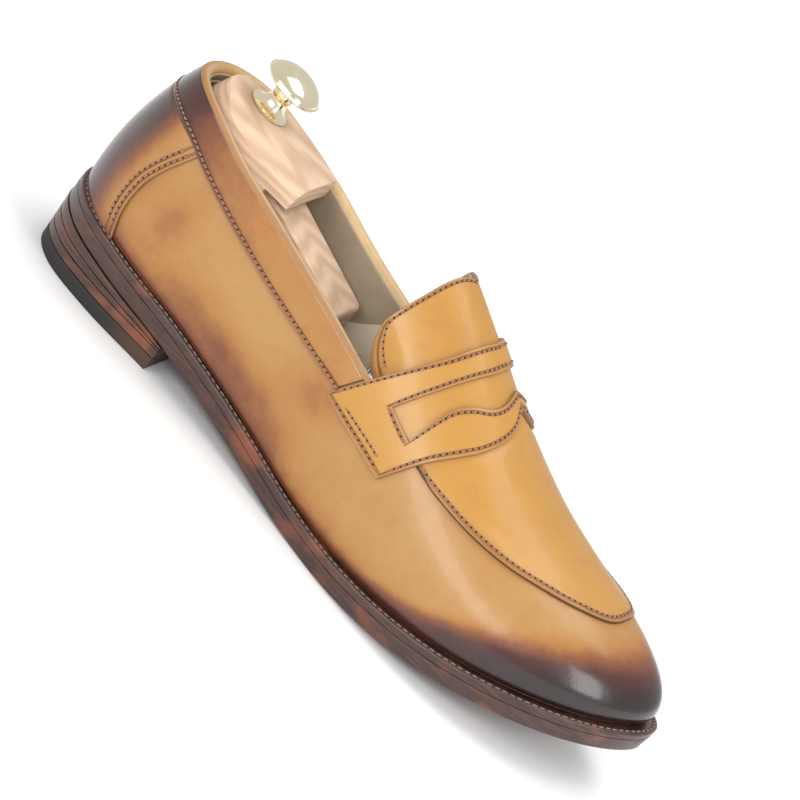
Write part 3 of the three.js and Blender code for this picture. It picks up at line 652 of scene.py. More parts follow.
def lining_calf(name, tone, shade, front=None):
    f = Finish(name, Specular_IOR_Level=0.35)
    place = f.position()
    fuzz = f.noise(place, 9, 4.0, 0.6)
    pores = f.cells(place, 0.9)
    colour = f.mix(fuzz, shade, tone)
    relief = f.bump(pores * 0.6 + f.noise(place, 0.8, 4.0) * 0.6, 0.07)
    if front:
        along = f.axis(place, 0)
        height = f.axis(place, 2)
        above = height - 60.0
        cover = (along - above + above * above * 0.02 + 33.0).between(0.0, 0.35)
        colour = f.mix(cover, colour, f.mix(fuzz, tuple(0.86 * k for k in front), front))
        relief = f.bump(cover, 0.7, relief)
    colour = f.mix(pores.between(0.0, 0.25) * -0.12 + 0.12, colour, shade)
    return f.paint(Base_Color=colour, Roughness=0.62 + fuzz * 0.12, Normal=relief)


def pale_binding(name):
    """Rolled calf edge: tan outside, pale and rubbed along its top."""
    f = Finish(name, Coat_Weight=0.12, Coat_Roughness=0.3)
    place = f.position()
    fuzz = f.noise(place, 6, 4.0)
    dirt = f.noise(f.position((0.4, 1, 1)), 1.6, 4.0, 0.65)
    colour = f.mix(fuzz, (0.50, 0.31, 0.13), (0.66, 0.46, 0.24))
    across = f.value("rim")
    colour = f.mix((1 - across.between(0.2, 2.0)) * 0.85, colour, (0.27, 0.115, 0.028))
    heel = f.value("burnish")
    colour = f.mix((heel * 0.6).clamp(), colour, (0.36, 0.175, 0.045))
    colour = f.mix(dirt.between(0.55, 0.75) * 0.3, colour, (0.26, 0.12, 0.045))
    relief = f.bump(f.cells(place, 0.8) * 0.4 + f.noise(place, 1.3, 4.0) * 0.7, 0.08)
    return f.paint(Base_Color=colour, Roughness=0.40 + fuzz * 0.12, Normal=relief)


def waxed_edge(name, tone=(0.085, 0.030, 0.018), red=(0.22, 0.058, 0.022), gloss=0.3):
    """Burnished sole leather: layers run along the edge, with redder patches."""
    f = Finish(name, Coat_Weight=0.25, Coat_Roughness=0.2)
    flat = f.position((0.16, 0.16, 2.2))
    streak = f.noise(flat, 2.4, 5.0, 0.65)
    patches = f.noise(f.position((0.6, 0.6, 1)), 13, 3.0)
    fine = f.noise(f.position((0.5, 0.5, 3)), 0.7, 3.0)
    colour = f.mix(streak.between(0.38, 0.7), (0.030, 0.012, 0.010), tone)
    colour = f.mix(patches.between(0.50, 0.72) * 0.75, colour, red)
    colour = f.mix(fine.between(0.6, 0.8) * 0.35, colour, (0.015, 0.008, 0.007))
    relief = f.bump(streak * 0.8 + fine * 0.5, 0.16)
    return f.paint(Base_Color=colour, Roughness=gloss + streak * 0.18, Normal=relief)


def heel_rubber(name):
    f = Finish(name)
    place = f.position()
    speckle = f.noise(place, 0.8, 4.0, 0.7)
    along = f.axis(place, 0)
    worn = along.between(-104.0, -84.0)
    colour = f.mix(speckle, (0.010, 0.009, 0.009), (0.028, 0.024, 0.023))
    colour = f.mix(worn * 0.6, colour, (0.10, 0.045, 0.028))
    return f.paint(Base_Color=colour, Roughness=0.62 + speckle * 0.2, Normal=f.bump(speckle, 0.12))


def waxed_thread(name, tone, shade):
    f = Finish(name, Sheen_Weight=0.2)
    place = f.position()
    twist = f.node("ShaderNodeTexWave", {"wave_type": "BANDS", "bands_direction": "DIAGONAL"},
                   {"Vector": place, "Scale": 1.1, "Distortion": 2.0, "Detail": 1.0})
    fibres = f.noise(place, 0.35, 2.0)
    colour = f.mix(twist * 0.6 + fibres * 0.4, shade, tone)
    return f.paint(Base_Color=colour, Roughness=0.7 + fibres * 0.1, Normal=f.bump(twist, 0.12))


def planed_wood(name):
    """Pale close-grained wood with long fibres along X and soft growth bands."""
    f = Finish(name, Specular_IOR_Level=0.35)
    fibre = f.noise(f.position((0.05, 1.0, 1.0)), 0.75, 5.0, 0.6)
    sway = f.noise(f.position((0.25, 1, 1)), 22, 2.0)
    place = f.position((0.10, 1.0, 0.9))
    bands = f.node("ShaderNodeTexWave", {"wave_type": "RINGS", "rings_direction": "X"},
                   {"Vector": place, "Scale": 0.11, "Distortion": 5.0, "Detail": 3.0, "Detail Scale": 0.6})
    flecks = f.noise(f.position((0.12, 1.0, 1.0)), 0.4, 3.0, 0.7)
    colour = f.mix(bands * 0.75 + sway * 0.25, (0.52, 0.335, 0.215), (0.70, 0.51, 0.36))
    colour = f.mix(fibre.between(0.5, 0.75) * 0.45, colour, (0.40, 0.235, 0.135))
    colour = f.mix(flecks.between(0.62, 0.8) * 0.4, colour, (0.30, 0.165, 0.09))
    relief = f.bump(fibre * 0.7 + flecks * 0.4, 0.09)
    return f.paint(Base_Color=colour, Roughness=0.52 + fibre * 0.16, Normal=relief)


def polished_brass(name):
    f = Finish(name, Metallic=1.0)
    place = f.position()
    haze = f.noise(place, 6, 3.0)
    lines = f.noise(f.position((6, 1, 1)), 0.9, 4.0, 0.7)
    colour = f.mix(haze, (0.80, 0.70, 0.44), (0.93, 0.86, 0.66))
    return f.paint(Base_Color=colour, Roughness=0.07 + haze * 0.07 + lines * 0.05,
                   Normal=f.bump(lines, 0.006))


def drawn_steel(name):
    f = Finish(name, Metallic=1.0)
    lines = f.noise(f.position((0.1, 3, 3)), 0.5, 4.0, 0.7)
    colour = f.mix(lines, (0.36, 0.35, 0.34), (0.62, 0.61, 0.60))
    return f.paint(Base_Color=colour, Roughness=0.28 + lines * 0.2, Normal=f.bump(lines, 0.01))


def pressed_cork(name):
    f = Finish(name)
    place = f.position()
    crumbs = f.cells(place, 1.6)
    fine = f.noise(place, 0.8, 3.0)
    colour = f.mix(crumbs, (0.26, 0.14, 0.06), (0.55, 0.36, 0.19))
    return f.paint(Base_Color=colour, Roughness=0.8 + fine * 0.1, Normal=f.bump(crumbs, 0.25))


def fibre_board(name):
    f = Finish(name)
    place = f.position()
    fibres = f.noise(f.position((0.4, 1, 1)), 1.2, 5.0, 0.7)
    cloud = f.noise(place, 12, 3.0)
    colour = f.mix(fibres * 0.6 + cloud * 0.4, (0.42, 0.27, 0.14), (0.66, 0.48, 0.29))
    return f.paint(Base_Color=colour, Roughness=0.75 + fibres * 0.1, Normal=f.bump(fibres, 0.1))


FINISHES = {}


def finish(name):
    """The named finish, made once."""
    if name not in FINISHES:
        colours = bpy.context.scene.loafer_colours
        gold = tuple(colours.strap)
        makers = {
            "quarter_calf": lambda: calf("quarter_calf", tuple(colours.upper), 0.03, row=60),
            # The apron's edges take the dark edge colour, partly painted shadow under its lap.
            "apron_calf": lambda: calf("apron_calf", gold, 0.0, edge=DARK_EDGE_AND_LAP_SHADOW),
            "strap_calf": lambda: calf("strap_calf", gold, -0.02, row=1.9),
            "tongue_calf": lambda: calf("tongue_calf", gold, 0.04),
            "collar_calf": lambda: calf("collar_calf", tuple(colours.upper), 0.05, row=1.7),
            "counter_calf": lambda: calf("counter_calf", tuple(colours.upper), 0.08, row=1.7, rows=2),
            "quarter_lining": lambda: lining_calf("quarter_lining_calf", (0.46, 0.37, 0.265), (0.30, 0.235,
                                                                                               0.165),
                                                  front=tuple(colours.lining)),
            "grip_lining": lambda: lining_calf("grip_lining_calf", (0.46, 0.37, 0.265), (0.32, 0.25, 0.17)),
            "cream_lining": lambda: lining_calf("cream_lining_calf", tuple(colours.lining),
                                                tuple(0.8 * k for k in colours.lining)),
            "binding": lambda: pale_binding("binding_calf"),
            "sole_edge": lambda: waxed_edge("waxed_sole_edge"),
            "heel_stack": lambda: waxed_edge("waxed_heel_stack", (0.105, 0.036, 0.018), (0.26, 0.075,
                                                                                         0.026), 0.3),
            "rubber": lambda: heel_rubber("heel_rubber"),
            "seam_thread": lambda: waxed_thread("seam_thread", (0.48, 0.23, 0.13), (0.27, 0.105, 0.062)),
            # Painted shade: the near-black colour of the stitch-hole rods.
            "painted_hole_shade": lambda: waxed_thread("thread_holes", (0.022, 0.009, 0.007), (0.008, 0.004, 0.004)),
            "welt_thread": lambda: waxed_thread("welt_thread", (0.42, 0.30, 0.215), (0.16, 0.10, 0.075)),
            "wood": lambda: planed_wood("tree_wood"),
            "brass": lambda: polished_brass("knob_brass"),
            "steel": lambda: drawn_steel("drawn_steel"),
            "cork": lambda: pressed_cork("pressed_cork"),
            "board": lambda: fibre_board("fibre_board"),
        }
        FINISHES[name] = makers[name]()
    return FINISHES[name]


def dress(nodes, name):
    """Gives CAD nodes that stay in view inside the shoe their own finish."""
    for node in nodes:
        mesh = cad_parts[node].data
        mesh.materials.clear()
        mesh.materials.append(finish(name))


# ---------------------------------------------------------------- settings


def tone(name, description, default):
    return bpy.props.FloatVectorProperty(name=name, description=description, default=default, size=3,
                                         subtype="COLOR", min=0.0, max=1.0)


class LoaferColours(bpy.types.PropertyGroup):
    """Colours of the leathers."""

    upper: tone("Upper", "Unburnished colour of the vamp and quarters", (0.40, 0.212, 0.062))
    strap: tone("Strap", "Unburnished colour of the strap, apron and tongue", GOLD)
    lining: tone("Front lining", "Colour of the lining of the vamp and of the sock", (0.80, 0.70, 0.53))


class LoaferSewing(bpy.types.PropertyGroup):
    """Sizes of the stitching."""

    pitch: bpy.props.FloatProperty(name="Pitch",
                                   description="Length of one stitch of the upper in millimetres",
                                   default=2.5, min=1.5, max=6.0)
    thread: bpy.props.FloatProperty(name="Thread", description="Radius of the upper's thread in millimetres",
                                    default=0.38, min=0.15, max=0.8)
    welt_pitch: bpy.props.FloatProperty(name="Welt pitch",
                                        description="Length of one welt stitch in millimetres",
                                        default=3.0, min=2.0, max=7.0)


class StudioSettings(bpy.types.PropertyGroup):
    """The floor, the lights and the camera."""

    key_power: bpy.props.FloatProperty(name="Key light", description="Power of the large soft light",
                                       default=17.0,
                                       min=0.0, unit="POWER")
    fill_power: bpy.props.FloatProperty(name="Fill light", description="Power of the light from above",
                                        default=9.0, min=0.0, unit="POWER")
    floor: tone("Floor", "Colour of the floor", (0.96, 0.96, 0.96))
    azimuth: bpy.props.FloatProperty(name="Azimuth", description="Camera direction round the shoe",
                                     default=math.radians(9.0), subtype="ANGLE")
    elevation: bpy.props.FloatProperty(name="Elevation", description="Camera height above the floor",
                                       default=math.radians(22.9), subtype="ANGLE")
    roll: bpy.props.FloatProperty(name="Roll", description="Turn of the camera about its line of sight",
                                  default=math.radians(42.8), subtype="ANGLE")
    distance: bpy.props.FloatProperty(name="Distance", description="Camera distance from the shoe",
                                      default=2.119,
                                      unit="LENGTH")


# ---------------------------------------------------------------- sole and heel


def slab_place(first, last, inset, low, high, crisp=1.0):
    """Place function of a bottom layer between two heights, inset from the sole's outline."""
    whole = last >= TOE_END

    def place(u, w, under, drop):
        u, w, drop = np.broadcast_arrays(u, w, drop)
        if whole:
            share = (1 - np.cos(math.pi * u)) / 2
        else:
            share = 1 - np.cos(math.pi / 2 * u)
        x = first + (last - first) * share
        ends = []
        for side in (-1, 1):
            s = share_at(x, side)
            ends.append(outline(s) + inward(s) * (inset(x, under))[..., None])
        plan = ends[0] + (ends[1] - ends[0]) * w[..., None]
        if not whole:
            plan[..., 0] += (x - plan[..., 0]) * ease(0.9, 1, u)
        level = low(plan[..., 0]) + drop if under else high(plan[..., 0]) - drop * crisp
        return np.concatenate([plan, level[..., None]], -1)

    return place


def slab(name, place, columns, rows, look, nodes, edge=0.7, folded="uU"):
    points, faces, values = sheet_body(place, columns, rows, edge, folded=folded)
    return piece(name, points, faces, finish(look), nodes=nodes, values=values, weld=0.002)


class LOAFER_OT_sole(bpy.types.Operator):
    """Build the outsole, the welt with its stitching, and the sock lining"""

    bl_idname = "loafer.sole"
    bl_label = "Outsole and welt"

    def execute(self, context):
        top = lambda x: sole_bottom(x) + OUTSOLE + 0.8 * GAP
        place = slab_place(HEEL_END, TOE_END, lambda x, under: 0.5 * under + 0 * x, sole_bottom, top, 0.12)
        slab("outsole_leather", place, 220, 60, "sole_edge", ("outsole",), edge=0.9)

        profile = [(8.5, 0), (0.3, 0), (0.08, 0.1), (0, 0.35), (0, 1.4), (0, 2.4), (0.1, 2.85), (0.4, 3.2),
                   (0.9, 3.38), (1.15, 3.38), (1.4, 3.12), (1.75, 3.0), (2.1, 3.12), (2.35, 3.38), (3.2, 3.4),
                   (8.5, 3.4)]
        seat = OUTSOLE + GAP
        share = HEEL + np.arange(560) / 560
        rim, inner = outline(share), inward(share)
        rows = []
        for inset, level in profile:
            plan = rim + inner * inset
            rows.append(np.c_[plan, sole_bottom(plan[:, 0]) + seat + level])
        tube("welt_strip", np.stack(rows, 1), finish("sole_edge"), ("welt",), ring=True)

        path = outline(np.linspace(0, 1, 1400)) + inward(np.linspace(0, 1, 1400)) * 1.75
        length = np.r_[0, np.cumsum(np.linalg.norm(np.diff(path, axis=0), axis=1))]
        count = int(length[-1] / context.scene.loafer_sewing.welt_pitch)
        at = (np.arange(count) + 0.5) / count * length[-1]

        def spot(distance):
            plan = np.stack([np.interp(np.mod(distance, length[-1]), length, path[:, k]) for k in range(2)],
                            1)
            return np.c_[plan, sole_bottom(plan[:, 0]) + OUTSOLE + GAP + WELT - 0.18]

        along = unit(spot(at + 0.8) - spot(at - 0.8))
        up = unit(np.cross(np.cross(along, [0, 0, 1]), along))
        sew("welt_stitches", [(spot(at), along, up)], finish("welt_thread"), 2.5, 0.42)

        inside = lambda x, under: reveal(x) + 5.4 + 0 * x
        bed = lambda x: welt_top(x) + 2 * GAP + INSOLE
        slab("sock_leather", slab_place(HEEL_END, TOE_END, inside, bed, lambda x: bed(x) + 1), 120, 30,
             "cream_lining", ("sock_lining",), edge=0.3)
        return {"FINISHED"}


class LOAFER_OT_heel(bpy.types.Operator):
    """Build the stacked heel and its rubber top lift"""

    bl_idname = "loafer.heel"
    bl_label = "Stacked heel"

    def execute(self, context):
        seat = lambda x: sole_bottom(x) - GAP
        middle = lambda x: (10.2 + seat(x)) / 2
        flat = lambda z: lambda x: z + 0 * x
        lifts = [
            ("heel_top_lift", flat(0.0), flat(6.0), "rubber", "top_lift"),
            ("heel_lift_low", flat(6.3), flat(9.9), "heel_stack", "heel_lift_1"),
            ("heel_lift_middle", flat(10.2), lambda x: middle(x) - GAP, "heel_stack", "heel_lift_2"),
            ("heel_lift_seat", middle, seat, "heel_stack", "heel_lift_3"),
        ]
        for name, low, high, look, node in lifts:
            def inset(x, under, low=low, high=high):
                level = low(x) if under else high(x)
                return 2.5 * (1 - level / sole_bottom(x)) + GAP
            place = slab_place(HEEL_END, 72.0, inset, low, high)
            slab(name, place, 70, 50, look, (node,), edge=0.3, folded="u")
        return {"FINISHED"}


# ---------------------------------------------------------------- upper


class LOAFER_OT_vamp(bpy.types.Operator):
    """Build the vamp and quarters, and the apron with its seam"""

    bl_idname = "loafer.vamp"
    bl_label = "Vamp, quarters and apron"

    def execute(self, context):
        def vamp(u, w):
            share = HEEL + u
            return share, vamp_edge(share) * w
        leather("calf_vamp_and_quarters", layer_place(vamp, 0.0, -1.4), 460, 64, finish("quarter_calf"),
                ("vamp_and_quarters",), ring=True, rims="V")

        def apron_edges(x):
            outer, inner = share_at(x, -1), share_at(x, 1)
            seam = apron_seam(x)
            lap = 0.3 - 1.1 * ease(176, 186, x)
            return 1 - rise_step(outer, seam, lap), 1 - rise_step(inner, seam, lap)

        def apron(u, w):
            x = 146 + (TOE_END - 146) * np.sin(u * math.pi / 2)
            low, high = apron_edges(x)
            s = -low + (low + high) * w
            return x + (tongue_seam(1 - np.abs(s)) - 146) * (1 - ease(146, 190, x)), s
        def apron_place(u, w, under, drop):
            x, s = apron(*np.broadcast_arrays(u, w))
            rise = 1 - np.abs(s)
            low, high = apron_edges(x)
            away = (np.minimum(w, 1 - w) * (low + high)) * 88
            raised = ease(0.5, 4.5, x - strap_front(rise))
            top = 0.28 + 0.92 * raised * (1 - 0.45 * ease(2.5, 9, away))
            bottom = (-1.4 * ease(1.6, 3.4, away) + 0.08) * raised - 1.4 * (1 - raised)
            return over_last(x, s, bottom + drop * 0.5 if under else top - drop)
        points, faces, values = sheet_body(apron_place, 150, 90, 0.5, rims="vV", folded="U")
        values["burnish"] = burnish(points) * 0.55
        values["rim"] = apron_rim(points)
        piece("calf_apron", points, faces, finish("apron_calf"), nodes=("apron",), values=values, weld=0.002)

        fan = np.linspace(0, 1, 500)
        outer = share_at(176.0, -1) + (TOE - share_at(176.0, -1)) * fan
        inner = TOE + (share_at(176.0, 1) - TOE) * fan
        shares = np.r_[outer, inner[1:]]
        rises = rise_step(shares, apron_seam(outline(shares)[:, 0]), 1.5)
        sewing = context.scene.loafer_sewing
        sew("apron_stitches", [stitch_path(shares, rises, 1.24, sewing.pitch, 0.18)], finish("seam_thread"),
            sewing.pitch * 0.86, sewing.thread)
        return {"FINISHED"}


def apron_rim(points):
    """Distance of each point in from the apron's seam, in millimetres."""
    fan = np.linspace(0, 1, 700)
    shares = np.r_[share_at(150.0, -1) + (TOE - share_at(150.0, -1)) * fan,
                   TOE + (share_at(150.0, 1) - TOE) * fan]
    seam = on_last(shares, apron_seam(outline(shares)[:, 0]), 0.0)
    distance = np.full(len(points), 1e3)
    for start in range(0, len(points), 4000):
        block = points[start:start + 4000]
        gaps = np.linalg.norm(block[:, None] - seam[None], axis=-1)
        distance[start:start + 4000] = gaps.min(1)
    return np.clip(distance + 0.6, 0, 50)


def band(first, last, low, high):
    """Coordinates of a band round the back of the last, from one share to another."""
    def coordinates(u, w):
        share = first + (last - first) * u
        bottom = low(share)
        return share, bottom + (high(share) - bottom) * w
    return coordinates


class LOAFER_OT_collar(bpy.types.Operator):
    """Build the collar band, its binding, the heel counter cover and their stitching"""

    bl_idname = "loafer.collar"
    bl_label = "Collar and counter"

    def execute(self, context):
        sewing = context.scene.loafer_sewing
        first = share_at(134.0, 1)
        last = share_at(134.0, -1) + 1

        def collar(u, w):
            share, rise = band(first, last, collar_seam, topline)(u, w)
            x = strap_rear(rise) - 0.8
            outer_end, inner_end = share_at(x, -1) + 1, share_at(x, 1)
            share = share + (inner_end - first) * np.clip(1 - u / 0.06, 0, 1)
            return share + (outer_end - last) * np.clip(1 - (1 - u) / 0.06, 0, 1), rise
        leather("calf_collar_band", layer_place(collar, OVERLAY_TOP, GAP), 380, 16, finish("collar_calf"),
                ("collar_band",), rims="v", edge=0.45, darkening=collar_stain)
        shares = np.linspace(first, last, 900)
        paths = [stitch_path(shares, rise_step(shares, collar_seam(shares), 1.75), OVERLAY_TOP + 0.08,
                             sewing.pitch, 0.2)]

        levels = np.linspace(0, 0.34, 36)
        ends = []
        for side in (-1, 1):
            x = np.full_like(levels, 30.0)
            for _ in range(12):
                p = last_point(share_at(x, side), levels)
                x = x + (counter_front(p[:, 2]) - p[:, 0])
            ends.append(share_at(x, side) + (1 if side < 0 else 0))
        outer_front = lambda rise: np.interp(rise, levels, ends[0])
        inner_front = lambda rise: np.interp(rise, levels, ends[1])

        def counter(u, w):
            nominal = inner_front(0.2) + (outer_front(0.2) - inner_front(0.2)) * u
            rise = (rise_step(nominal, collar_seam(nominal), -0.35)) * w
            return inner_front(rise) + (outer_front(rise) - inner_front(rise)) * u, rise
        leather("calf_counter_cover", layer_place(counter, OVERLAY_TOP, GAP), 150, 56, finish("counter_calf"),
                ("counter_cover",), rims="uU", edge=0.45, darkening=counter_stain)
        for front, sign in ((outer_front, -1), (inner_front, 1)):
            for distance in (1.7, 4.4):
                top = float(collar_seam(front(0.25))) - 0.012
                rise = np.linspace(0.012, top, 120)
                share = front(rise) + sign * distance / 700.0
                paths.append(stitch_path(share, rise, OVERLAY_TOP + 0.08, sewing.pitch, 0.2))
        sew("collar_stitches", paths, finish("seam_thread"), sewing.pitch * 0.86, sewing.thread)

        first, last = share_at(138.0, 1), share_at(138.0, -1) + 1
        shares = np.linspace(first, last, 420)
        profile = [(1.6, -0.25), (1.63, 0.2), (1.5, 0.75), (1.15, 1.2), (0.6, 1.55), (-0.1, 1.75),
                   (-0.9, 1.78),
                   (-1.7, 1.6), (-2.4, 1.25), (-2.95, 0.75), (-3.3, 0.1), (-3.6, -0.6), (-4.0, -1.4),
                   (-3.0, -1.2), (-1.2, -0.4)]
        edge = topline(shares)
        rows = [on_last(shares, rise_step(shares, edge, height), offset) for offset, height in profile]
        points = np.stack(rows, 1)
        darkening = ease(46, 4, points[..., 0]).ravel() * 0.9
        across = np.tile([offset for offset, _ in profile], (len(shares), 1)).ravel()
        tube("calf_topline_binding", points, finish("binding"), ("topline_binding",),
             values={"burnish": darkening, "rim": 1.7 - across}, smooth_angle=60)
        return {"FINISHED"}


def counter_stain(points):
    """The heel is stained darkest along its back, and golden by its front seam."""
    x, _, z = points.T
    high = np.maximum(z - welt_top(x) - GAP, 0)
    back = ease(24, 5, x)
    low = 0.35 * np.exp(-high / 6)
    top = 0.35 * ease(58, 80, z) * ease(30, 12, x)
    return np.clip(1 - (1 - 0.78 * back) * (1 - low) * (1 - top), 0, 1)


class LOAFER_OT_strap(bpy.types.Operator):
    """Build the slotted strap over the instep and its stitching"""

    bl_idname = "loafer.strap"
    bl_label = "Penny strap"

    def execute(self, context):
        knots = np.array([0.0, 0.22, 0.34, 0.66, 0.78, 1.0])

        def loops(u):
            """Outer and inner outlines in (rim station, signed rise), from the back of the ridge."""
            k = np.clip(np.searchsorted(knots, u, side="right") - 1, 0, 4)
            q = (u - knots[k]) / (knots[k + 1] - knots[k])
            outer, inner = np.zeros(u.shape + (2,)), np.zeros(u.shape + (2,))
            for loop, rear, front, back_end, front_end in (
                (outer, strap_rear, strap_front, 0.229, 0.25),
                (inner, slot_rear, slot_front, SLOT_END, SLOT_END + 0.006),
            ):
                rise = np.select([k == 0, k == 1, k == 3, k == 4],
                                 [1 + (back_end - 1) * q, back_end + (front_end - back_end) * q,
                                  front_end + (back_end - front_end) * q, back_end + (1 - back_end) * q],
                                 1 - np.abs(1 - 2 * q) * (1 - front_end))
                corner_rear, corner_front = rear(np.array(back_end)), front(np.array(front_end))
                x = np.select([(k == 0) | (k == 4), k == 1, k == 3],
                              [rear(rise), corner_rear + (corner_front - corner_rear) * q,
                               corner_front + (corner_rear - corner_front) * q], front(rise))
                side = np.where(u < 0.5, -1.0, 1.0)
                loop[..., 0], loop[..., 1] = x, side * (1 - rise)
            return outer, inner

        def strap(u, w):
            outer, inner = loops(u)
            at = inner + (outer - inner) * w[..., None]
            return at[..., 0], at[..., 1]
        place = arch_place(strap, STRAP_TOP, GAP)
        leather("calf_penny_strap", place, 500, 14, finish("strap_calf"), ("penny_strap",), edge=0.45,
                ring=True,
                rims="vV", darkening=lambda points: burnish(points) * 0.3)

        u = np.linspace(0, 1, 1600, endpoint=False)
        probe = place(u[:, None], np.linspace(0, 1, 20)[None, :], False, 0.0)
        width = np.linalg.norm(np.diff(probe, axis=1), axis=-1).sum(1)

        def row(part, inset):
            at = u[(u >= part[0]) & (u <= part[1])]
            across = inset / np.interp(at, u, width)
            x, s = strap(at, 1 - across if inset > 0 else -across)
            return stitch_path(share_at(x, s), 1 - np.abs(s), STRAP_TOP + 0.08, sewing.pitch, 0.2)
        sewing = context.scene.loafer_sewing
        margin = 0.006
        paths = [row((knots[k] + margin, knots[k + 1] - margin), 2.0) for k in range(5)]
        paths += [row((knots[k] + margin, knots[k + 1] - margin), -2.0) for k in range(5)]
        paths += [row((knots[k] + 3 * margin, knots[k + 1] - 3 * margin), 4.6) for k in (1, 3)]
        sew("strap_stitches", paths, finish("seam_thread"), sewing.pitch * 0.86, sewing.thread)
        return {"FINISHED"}


class LOAFER_OT_tongue(bpy.types.Operator):
    """Build the tongue, its lining and its stitching"""

    bl_idname = "loafer.tongue"
    bl_label = "Tongue"

    def execute(self, context):
        def low_rise(x):
            u = np.clip((137 - x) / 15.5, 0, 1)
            return 0.362 + 0.135 * (1 - np.sqrt(1 - u ** 2))

        def tongue(u, w, shrink=0.0):
            nominal = 121.6 + shrink + (146 - 121.6) * u
            reach = 1 - low_rise(nominal) - shrink / 60
            s = -reach + 2 * reach * w
            rise = 1 - np.abs(s)
            rear = 3.4 * ease(0.6, 1.0, rise)
            return nominal - rear * (1 - u) ** 2 + (tongue_seam(rise) - 0.5 - 146) * u ** 2, s

        def place_at(top, bottom, shrink=0.0):
            def place(u, w, under, drop):
                x, s = tongue(*np.broadcast_arrays(u, w), shrink)
                return over_last(x, s, (bottom + drop if under else top - drop) - tucked(x, 1 - np.abs(s)))
            return place

        def tucked(x, rise):
            """How far the sides of the tongue lie inside the line of the upper."""
            return 5.0 * (1 - ease(0.35, 0.50, rise)) * (1 - ease(133, 147, x))
        leather("calf_tongue", place_at(0.0, -1.4), 50, 90, finish("tongue_calf"), ("tongue",), edge=0.45,
                rims="uvV", darkening=lambda points: burnish(points) * 0.2)
        leather("lining_tongue", place_at(-1.5, -2.6, 0.25), 40, 70, finish("grip_lining"),
                ("tongue_lining",),
                edge=0.35, rims="", darkening=lambda points: points[:, 0] * 0)
        side = np.linspace(1, 0, 60)
        u = np.r_[side * 0.62, np.zeros(120), side[::-1] * 0.62]
        u = np.maximum(u, 0.062)
        w = np.r_[np.full(60, 0.043), np.linspace(0.043, 0.957, 120), np.full(60, 0.957)]
        x, s = tongue(u, w)
        rise = 1 - np.abs(s)
        offset = 0.06 - tucked(x, rise)
        sewing = context.scene.loafer_sewing
        path = stitch_path(share_at(x, s), rise, offset, sewing.pitch, 0.2)
        sew("tongue_stitches", [path], finish("seam_thread"), sewing.pitch * 0.86, sewing.thread)
        return {"FINISHED"}


class LOAFER_OT_lining(bpy.types.Operator):
    """Build the linings and the heel grip, and finish the hidden reinforcements"""

    bl_idname = "loafer.lining"
    bl_label = "Linings"

    def execute(self, context):
        first, last = share_at(150.0, 1), share_at(150.0, -1) + 1
        quarter = band(first, last, lambda share: 0 * share + 0.004, topline)
        leather("lining_quarters", layer_place(quarter, -3.0, LINING_INNER), 260, 44,
                finish("quarter_lining"),
                ("quarter_lining",), edge=0.3, rims="")

        def vamp(u, w):
            x = 150.5 + (TOE_END - 150.5) * np.sin(u * math.pi / 2)
            return x, -1 + 2 * w
        points, faces, _ = sheet_body(arch_place(vamp, -3.0, LINING_INNER), 70, 70, 0.3, folded="U")
        piece("lining_vamp", points, faces, finish("cream_lining"), nodes=("vamp_lining",), weld=0.002)

        def dropped(distance):
            height = lambda x: topline_height(x) - distance
            return lambda share: rise_at(share, height)
        grip = band(share_at(41.0, 1), share_at(41.0, -1) + 1, dropped(41.5), dropped(3.2))
        leather("lining_heel_grip", layer_place(grip, LINING_INNER - GAP, LINING_INNER - GAP - 1), 110, 36,
                finish("grip_lining"), ("heel_grip",), edge=0.3, rims="")
        dress(("counter_stiffener", "toe_puff", "insole"), "board")
        dress(("cork_filler",), "cork")
        dress(["shank"] + [f"heel_nail_{k}" for k in range(1, 6)], "steel")
        return {"FINISHED"}


# ---------------------------------------------------------------- shoe tree


def last_solid(name, offset):
    """Closed body that fills the last up to a distance from its surface."""
    def place(u, w, under, drop):
        u, w = np.broadcast_arrays(u, w)
        x = HEEL_END + (TOE_END - HEEL_END) * (1 - np.cos(math.pi * u)) / 2
        if not under:
            return over_last(x, 2 * w - 1, offset)
        a, b = over_last(x, -1 + 0 * w, offset), over_last(x, 1 + 0 * w, offset)
        return a + (b - a) * w[..., None]
    points, faces, _ = sheet_body(place, 110, 70, 0.01, folded="uU")
    return piece(name, points, faces, finish("wood"), body="tree_carriage", weld=0.01)


def trim(obj, planes):
    """Keeps what lies behind each plane, given by a point and an outward normal in millimetres."""
    bm = bmesh.new()
    bm.from_mesh(obj.data)
    for point, normal in planes:
        spot = (np.array(point, float) + ROW_SHIFT) / 1000
        cut = bmesh.ops.bisect_plane(bm, geom=bm.verts[:] + bm.edges[:] + bm.faces[:], dist=1e-6,
                                     plane_co=Vector(spot), plane_no=Vector(normal), clear_outer=True)
        rim = [e for e in cut["geom_cut"] if isinstance(e, bmesh.types.BMEdge)]
        bmesh.ops.contextual_create(bm, geom=rim)
    bmesh.ops.recalc_face_normals(bm, faces=bm.faces)
    bm.to_mesh(obj.data)
    bm.free()


def modified(obj, kind, **settings):
    """Adds a modifier and applies it."""
    modifier = obj.modifiers.new(kind.title(), kind)
    for key, value in settings.items():
        setattr(modifier, key, value)
    with bpy.context.temp_override(object=obj, active_object=obj, selected_objects=[obj]):
        bpy.ops.object.modifier_apply(modifier=modifier.name)


def prism(name, outline_xz, from_y, to_y, look, body, nodes=(), bevel=0.9):
    """Block with rounded edges, drawn in the side view."""
    count = len(outline_xz)
    points = [(x, y, z) for y in (from_y, to_y) for x, z in outline_xz]
    faces = [list(range(count)), list(range(count, 2 * count))[::-1]]
    faces += [[k, (k + 1) % count, count + (k + 1) % count, count + k] for k in range(count)]
    obj = piece(name, points, faces, finish(look), body=body, nodes=nodes, smooth_angle=30)
    if bevel:
        modified(obj, "BEVEL", width=bevel / 1000, segments=4, limit_method="ANGLE")
    return obj


